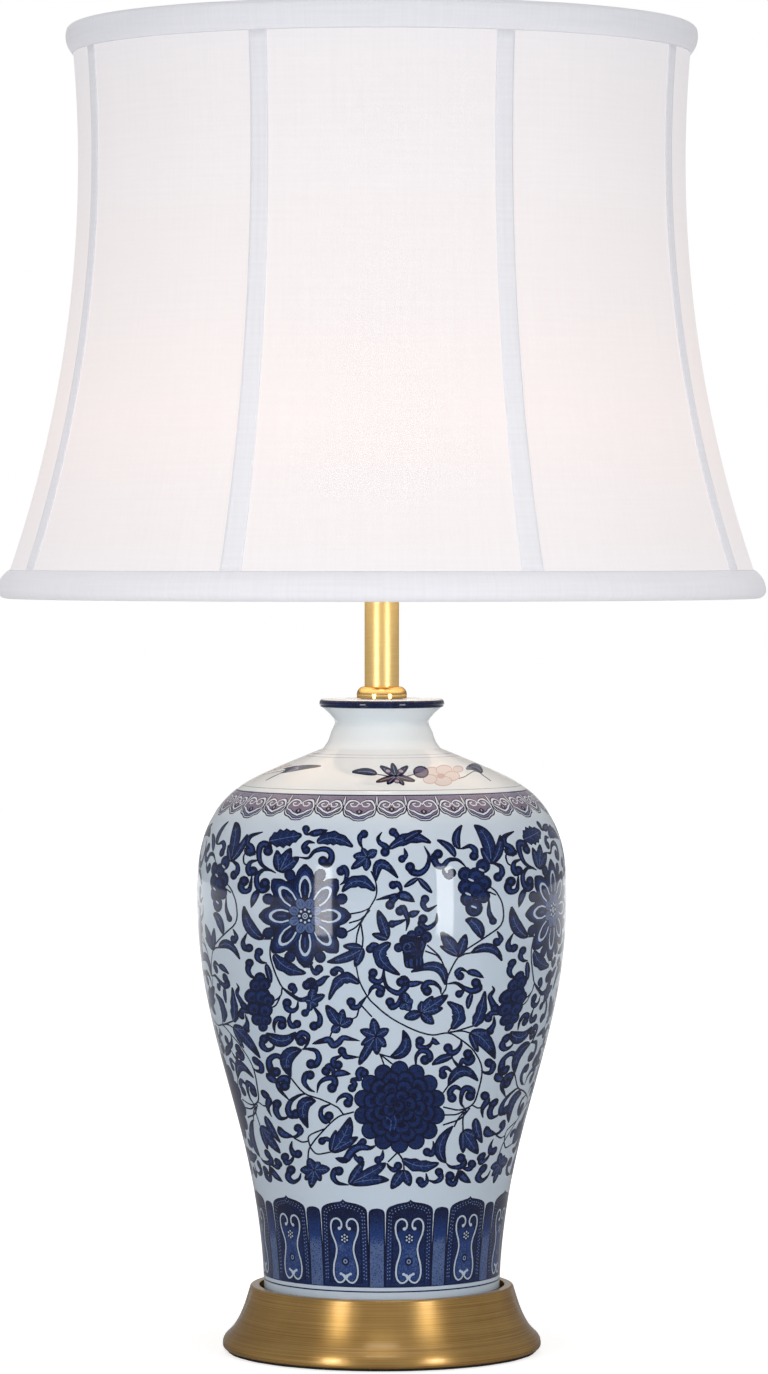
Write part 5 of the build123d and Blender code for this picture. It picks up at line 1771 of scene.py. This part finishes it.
class LAMP_OT_lampholder(bpy.types.Operator):
    """Finishes the lampholder and its clamp ring"""
    bl_idname = "lamp.lampholder"
    bl_label = "Lampholder"

    def execute(self, context):
        dress(black_moulding(), "lampholder_cap", "lampholder_shell", "shade_clamp_ring")
        dress(grainy_material("Steatite", (0.76, 0.73, 0.66), (0.66, 0.63, 0.57), 500.0,
                              (0.5, 0.75), 0.3), "lampholder_core")
        dress(grainy_material("Contact brass", (0.62, 0.46, 0.20), (0.45, 0.32, 0.13), 600.0,
                              (0.22, 0.4), 0.1, 1.0),
              "core_screws", "contact_sleeve", "centre_contact", "bulb_contact")
        return {"FINISHED"}


class LAMP_OT_bulb(bpy.types.Operator):
    """Finishes the bulb, and cuts the thread of its cap"""
    bl_idname = "lamp.bulb"
    bl_label = "Bulb"

    def execute(self, context):
        dress(glowing_material(context.scene.lamp_finishes), "bulb_globe")
        dress(grainy_material("White moulding", (0.82, 0.82, 0.80), (0.74, 0.74, 0.72), 500.0,
                              (0.25, 0.4), 0.1), "bulb_neck")
        dress(grainy_material("Black glass", (0.012, 0.012, 0.016), (0.03, 0.03, 0.035), 300.0,
                              (0.1, 0.25), 0.1), "bulb_insulator")
        self.add_cap()
        return {"FINISHED"}

    def add_cap(self):
        """The bulb's cap with its rolled thread."""
        low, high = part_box("bulb_cap")
        pitch = 0.003629
        depth = 0.0007
        wall = 0.0005
        taper = 0.0018
        run_in, run_out, tip = 0.12, 0.14, 0.09     # shares of the height
        radius = high.x
        angles = np.linspace(0, math.tau, 96, endpoint=False)
        heights = np.linspace(low.z, high.z, 90)[:, None]
        share = (heights - low.z) / (high.z - low.z)
        ease = np.clip(np.minimum(share / run_in, (1 - share) / run_out), 0, 1)
        wave = 0.5 + 0.5 * np.cos(math.tau * (heights - low.z) / pitch - angles)
        body = radius - depth * (1 - wave) * ease - taper * np.clip(1 - share / tip, 0, 1)
        grids = [round_points(angles, body - inset, heights) for inset in (0.0, wall)]
        mesh = sheet_mesh("threaded_cap", *grids, paired(angles * radius, heights), True)
        metal = grainy_material("Bright cap metal", (0.78, 0.78, 0.77), (0.62, 0.62, 0.62), 500.0,
                                (0.2, 0.35), 0.08, 1.0)
        add_piece("threaded_cap", mesh, metal, "bulb", "bulb_metal", "bulb_cap")


class LAMP_OT_shade_frame(bpy.types.Operator):
    """Finishes the wire frame of the shade"""
    bl_idname = "lamp.shade_frame"
    bl_label = "Shade frame"

    def execute(self, context):
        dress(grainy_material("White powder coat", (0.80, 0.80, 0.79), (0.72, 0.72, 0.71), 900.0,
                              (0.35, 0.5), 0.25),
              "fitter_ring", "fitter_arms", "top_ring", "bottom_ring", *RIBS)
        return {"FINISHED"}


def folded_cloth(name, finishes, cloth):
    """Cloth of the strips and padded edges, which lets less light through."""
    return cloth_material(name, finishes.trim, finishes.trim_near, finishes.trim_far, 0.47,
                          1 / cloth.thread_pitch, 0.3)


class LAMP_OT_shade_cover(bpy.types.Operator):
    """Stretches the eight cover panels, the strips over their seams and the lining"""
    bl_idname = "lamp.shade_cover"
    bl_label = "Shade cover"

    def execute(self, context):
        finishes = context.scene.lamp_finishes
        cloth = context.scene.lamp_cloth
        wall = BellWall(cloth)
        threads = 1 / cloth.thread_pitch
        cover = cloth_material("Cover cloth", finishes.cloth, finishes.glow, finishes.glow_far, 0.645,
                               threads, 0.25, reach_down=0.12)
        lining = cloth_material("Lining cloth", finishes.lining, finishes.glow, finishes.glow_far, 0.3,
                                threads * 1.4, 0.15)
        self.add_panels(wall, cloth, cover)
        self.add_strips(wall, cloth, folded_cloth("Strip cloth", finishes, cloth))
        self.add_lining(wall, cloth, lining)
        return {"FINISHED"}

    def add_panels(self, wall, cloth, material):
        """Eight panels, drawn in a little between their ribs."""
        along = np.linspace(-cloth.wire_radius, wall.length + cloth.wire_radius, WALL_ROWS)
        half = math.radians(PANEL_ANGLE / 2) - SEAM_GAP / cloth.bottom_radius
        share = np.linspace(-1, 1, 33)
        across = np.linspace(-half, half, len(share))
        up = np.sin(np.pi * np.clip(along / wall.length, 0, 1))
        deepest = 0.0004
        sag = deepest * (1 - share ** 2)[None, :] * up[:, None]
        for number, node in enumerate(PANELS):
            angles = math.radians(PANEL_ANGLE * number) + math.pi / 2 + across
            name = f"cover_cloth_{number + 1}"
            mesh, flat, area = wall.layer(name, along, angles, sag * 0.5, cloth.cover_thickness + sag * 0.2)
            panel = add_piece(name, mesh, material, "shade", "cover_cloth", node)

    def add_strips(self, wall, cloth, material):
        """Narrow folded strips over the seams, fuller in their middle."""
        reach = TRIM_REACH + cloth.cloth_gap
        along = np.linspace(reach, wall.length - reach, WALL_ROWS)
        half = (cloth.strip_width / 2 / wall.at(along, 0.0)[0]).mean()
        share = np.linspace(-1, 1, 9)
        outer = -cloth.cloth_gap - cloth.strip_thickness * (1 - 0.35 * share ** 4)
        soft = bmesh.new()
        for number in range(PANEL_COUNT):
            angles = math.radians(PANEL_ANGLE * (number + 0.5)) + share * half
            mesh, flat, _ = wall.layer("strip", along, angles, outer[None, :], -cloth.cloth_gap)
            soft.from_mesh(mesh)
            bpy.data.meshes.remove(mesh)
        mesh = bpy.data.meshes.new("seam_strips")
        soft.to_mesh(mesh)
        soft.free()
        strips = add_piece("seam_strips", mesh, material, "shade", "cover_cloth", "rib_strips")

    def add_lining(self, wall, cloth, material):
        """The lining, one tube of cloth inside the ribs."""
        reach = 0.0015
        along = np.linspace(reach, wall.length - reach, WALL_ROWS)
        angles = np.linspace(0, math.tau, 192, endpoint=False)
        mesh, flat, area = wall.layer("lining_cloth", along, angles, wall.lining_depth,
                                      wall.lining_depth + cloth.lining_thickness, True)
        piece = add_piece("lining_cloth", mesh, material, "shade", "lining_cloth", "lining")


class LAMP_OT_shade_trims(bpy.types.Operator):
    """Makes the padded trims round the shade's two edges"""
    bl_idname = "lamp.shade_trims"
    bl_label = "Shade trims"

    def execute(self, context):
        cloth = context.scene.lamp_cloth
        wall = BellWall(cloth)
        material = folded_cloth("Trim cloth", context.scene.lamp_finishes, cloth)
        for name, node, up in (("padded_top", "top_trim", -1), ("padded_bottom", "bottom_trim", 1)):
            mesh = self.trim_mesh(wall, cloth, name, up)
            piece = add_piece(name, mesh, material, "shade", "trim_cloth", node)
        return {"FINISHED"}

    def trim_mesh(self, wall, cloth, name, up):
        """A folded strip of cloth over wadding, puckered where it is sewn down."""
        outside = wall.wire_depth + cloth.cloth_gap
        inside = cloth.wire_radius + cloth.cloth_gap * 2 + cloth.lining_thickness
        floor = -cloth.wire_radius - cloth.cloth_gap
        fold = 0.0035
        sewn_edge = (outside, TRIM_REACH)
        crown = (outside + 0.0030, 0.0019)
        shoulder = (outside + 0.0021, floor - fold / 2)
        inner_shoulder = (-inside - 0.0006, floor - fold / 2)
        inner_crown = (-inside - 0.0015, 0.0)
        inner_edge = (-inside, 0.0055)
        loop = np.vstack([
            arc_points(sewn_edge, crown, shoulder, 14)[:-1],
            arc_points(shoulder, (0.0, floor - fold), inner_shoulder, 12)[:-1],
            arc_points(inner_shoulder, inner_crown, inner_edge, 8),
            [(-inside, floor), (outside, floor)]])
        count = len(loop)
        columns = 512
        angles = np.linspace(0, math.tau, columns, endpoint=False)
        pucker = smooth_noise(angles * 96, 0.7) * 0.00016 + smooth_noise(angles * 31, 2.1) * 0.00012
        shown = 26
        sewn = np.zeros(count)
        sewn[:shown] = 0.35 + 0.65 * np.exp(-np.arange(shown) / 5.0)
        sewn[0] = 0.0
        sewn[loop[:, 0] <= 0] = 0.0
        out, along = loop[:, :1], loop[:, 1:]
        along = along if up > 0 else wall.length - along
        radii, heights = wall.at(along, wall.wire_depth - out + pucker * sewn[:, None])
        corner = np.arange(count * columns).reshape(count, columns)
        below = np.roll(corner, -1, axis=0)
        quads = np.stack([corner, below, np.roll(below, -1, axis=1), np.roll(corner, -1, axis=1)], axis=2)
        run = run_along(np.vstack([loop, loop[:1]]))[:, None]
        step = math.tau * cloth.bottom_radius / columns
        left = step * np.arange(columns)
        right = step * np.arange(1, columns + 1)
        sides = ((left, run[:-1]), (left, run[1:]), (right, run[1:]), (right, run[:-1]))
        places = np.stack([paired(*side) for side in sides], axis=2)
        way = slice(None, None, up)
        return cloth_mesh(name, round_points(angles, radii, heights), quads.reshape(-1, 4)[:, way],
                          places.reshape(-1, 4, 2)[:, way])


class LAMP_PT_looks(bpy.types.Panel):
    """Lists the lamp's settings and pieces"""
    bl_idname = "LAMP_PT_looks"
    bl_label = "Porcelain Table Lamp"
    bl_space_type = "VIEW_3D"
    bl_region_type = "UI"
    bl_category = "Lamp"

    def draw(self, context):
        layout = self.layout
        for name in GROUPS:
            group = getattr(context.scene, name)
            box = layout.box()
            for setting in group.__annotations__:
                box.prop(group, setting)
        for operator in OPERATORS:
            layout.operator(operator.bl_idname)


GROUPS = {"lamp_stage": LampStage, "lamp_finishes": LampFinishes, "lamp_cloth": LampCloth,
          "lamp_painting": LampPainting}
OPERATORS = (LAMP_OT_stage, LAMP_OT_vase, LAMP_OT_foot, LAMP_OT_stem, LAMP_OT_lampholder, LAMP_OT_bulb,
             LAMP_OT_shade_frame, LAMP_OT_shade_cover, LAMP_OT_shade_trims)


def register():
    for group in GROUPS.values():
        bpy.utils.register_class(group)
    for name, group in GROUPS.items():
        setattr(bpy.types.Scene, name, PointerProperty(type=group))
    for operator in OPERATORS:
        bpy.utils.register_class(operator)
    bpy.utils.register_class(LAMP_PT_looks)


def unregister():
    bpy.utils.unregister_class(LAMP_PT_looks)
    for operator in reversed(OPERATORS):
        bpy.utils.unregister_class(operator)
    for name, group in reversed(GROUPS.items()):
        delattr(bpy.types.Scene, name)
        bpy.utils.unregister_class(group)


def main():
    register()
    bpy.ops.lamp.stage()
    bpy.ops.lamp.vase()
    bpy.ops.lamp.foot()
    bpy.ops.lamp.stem()
    bpy.ops.lamp.lampholder()
    bpy.ops.lamp.bulb()
    bpy.ops.lamp.shade_frame()
    bpy.ops.lamp.shade_cover()
    bpy.ops.lamp.shade_trims()


if __name__ == "__main__":
    main()
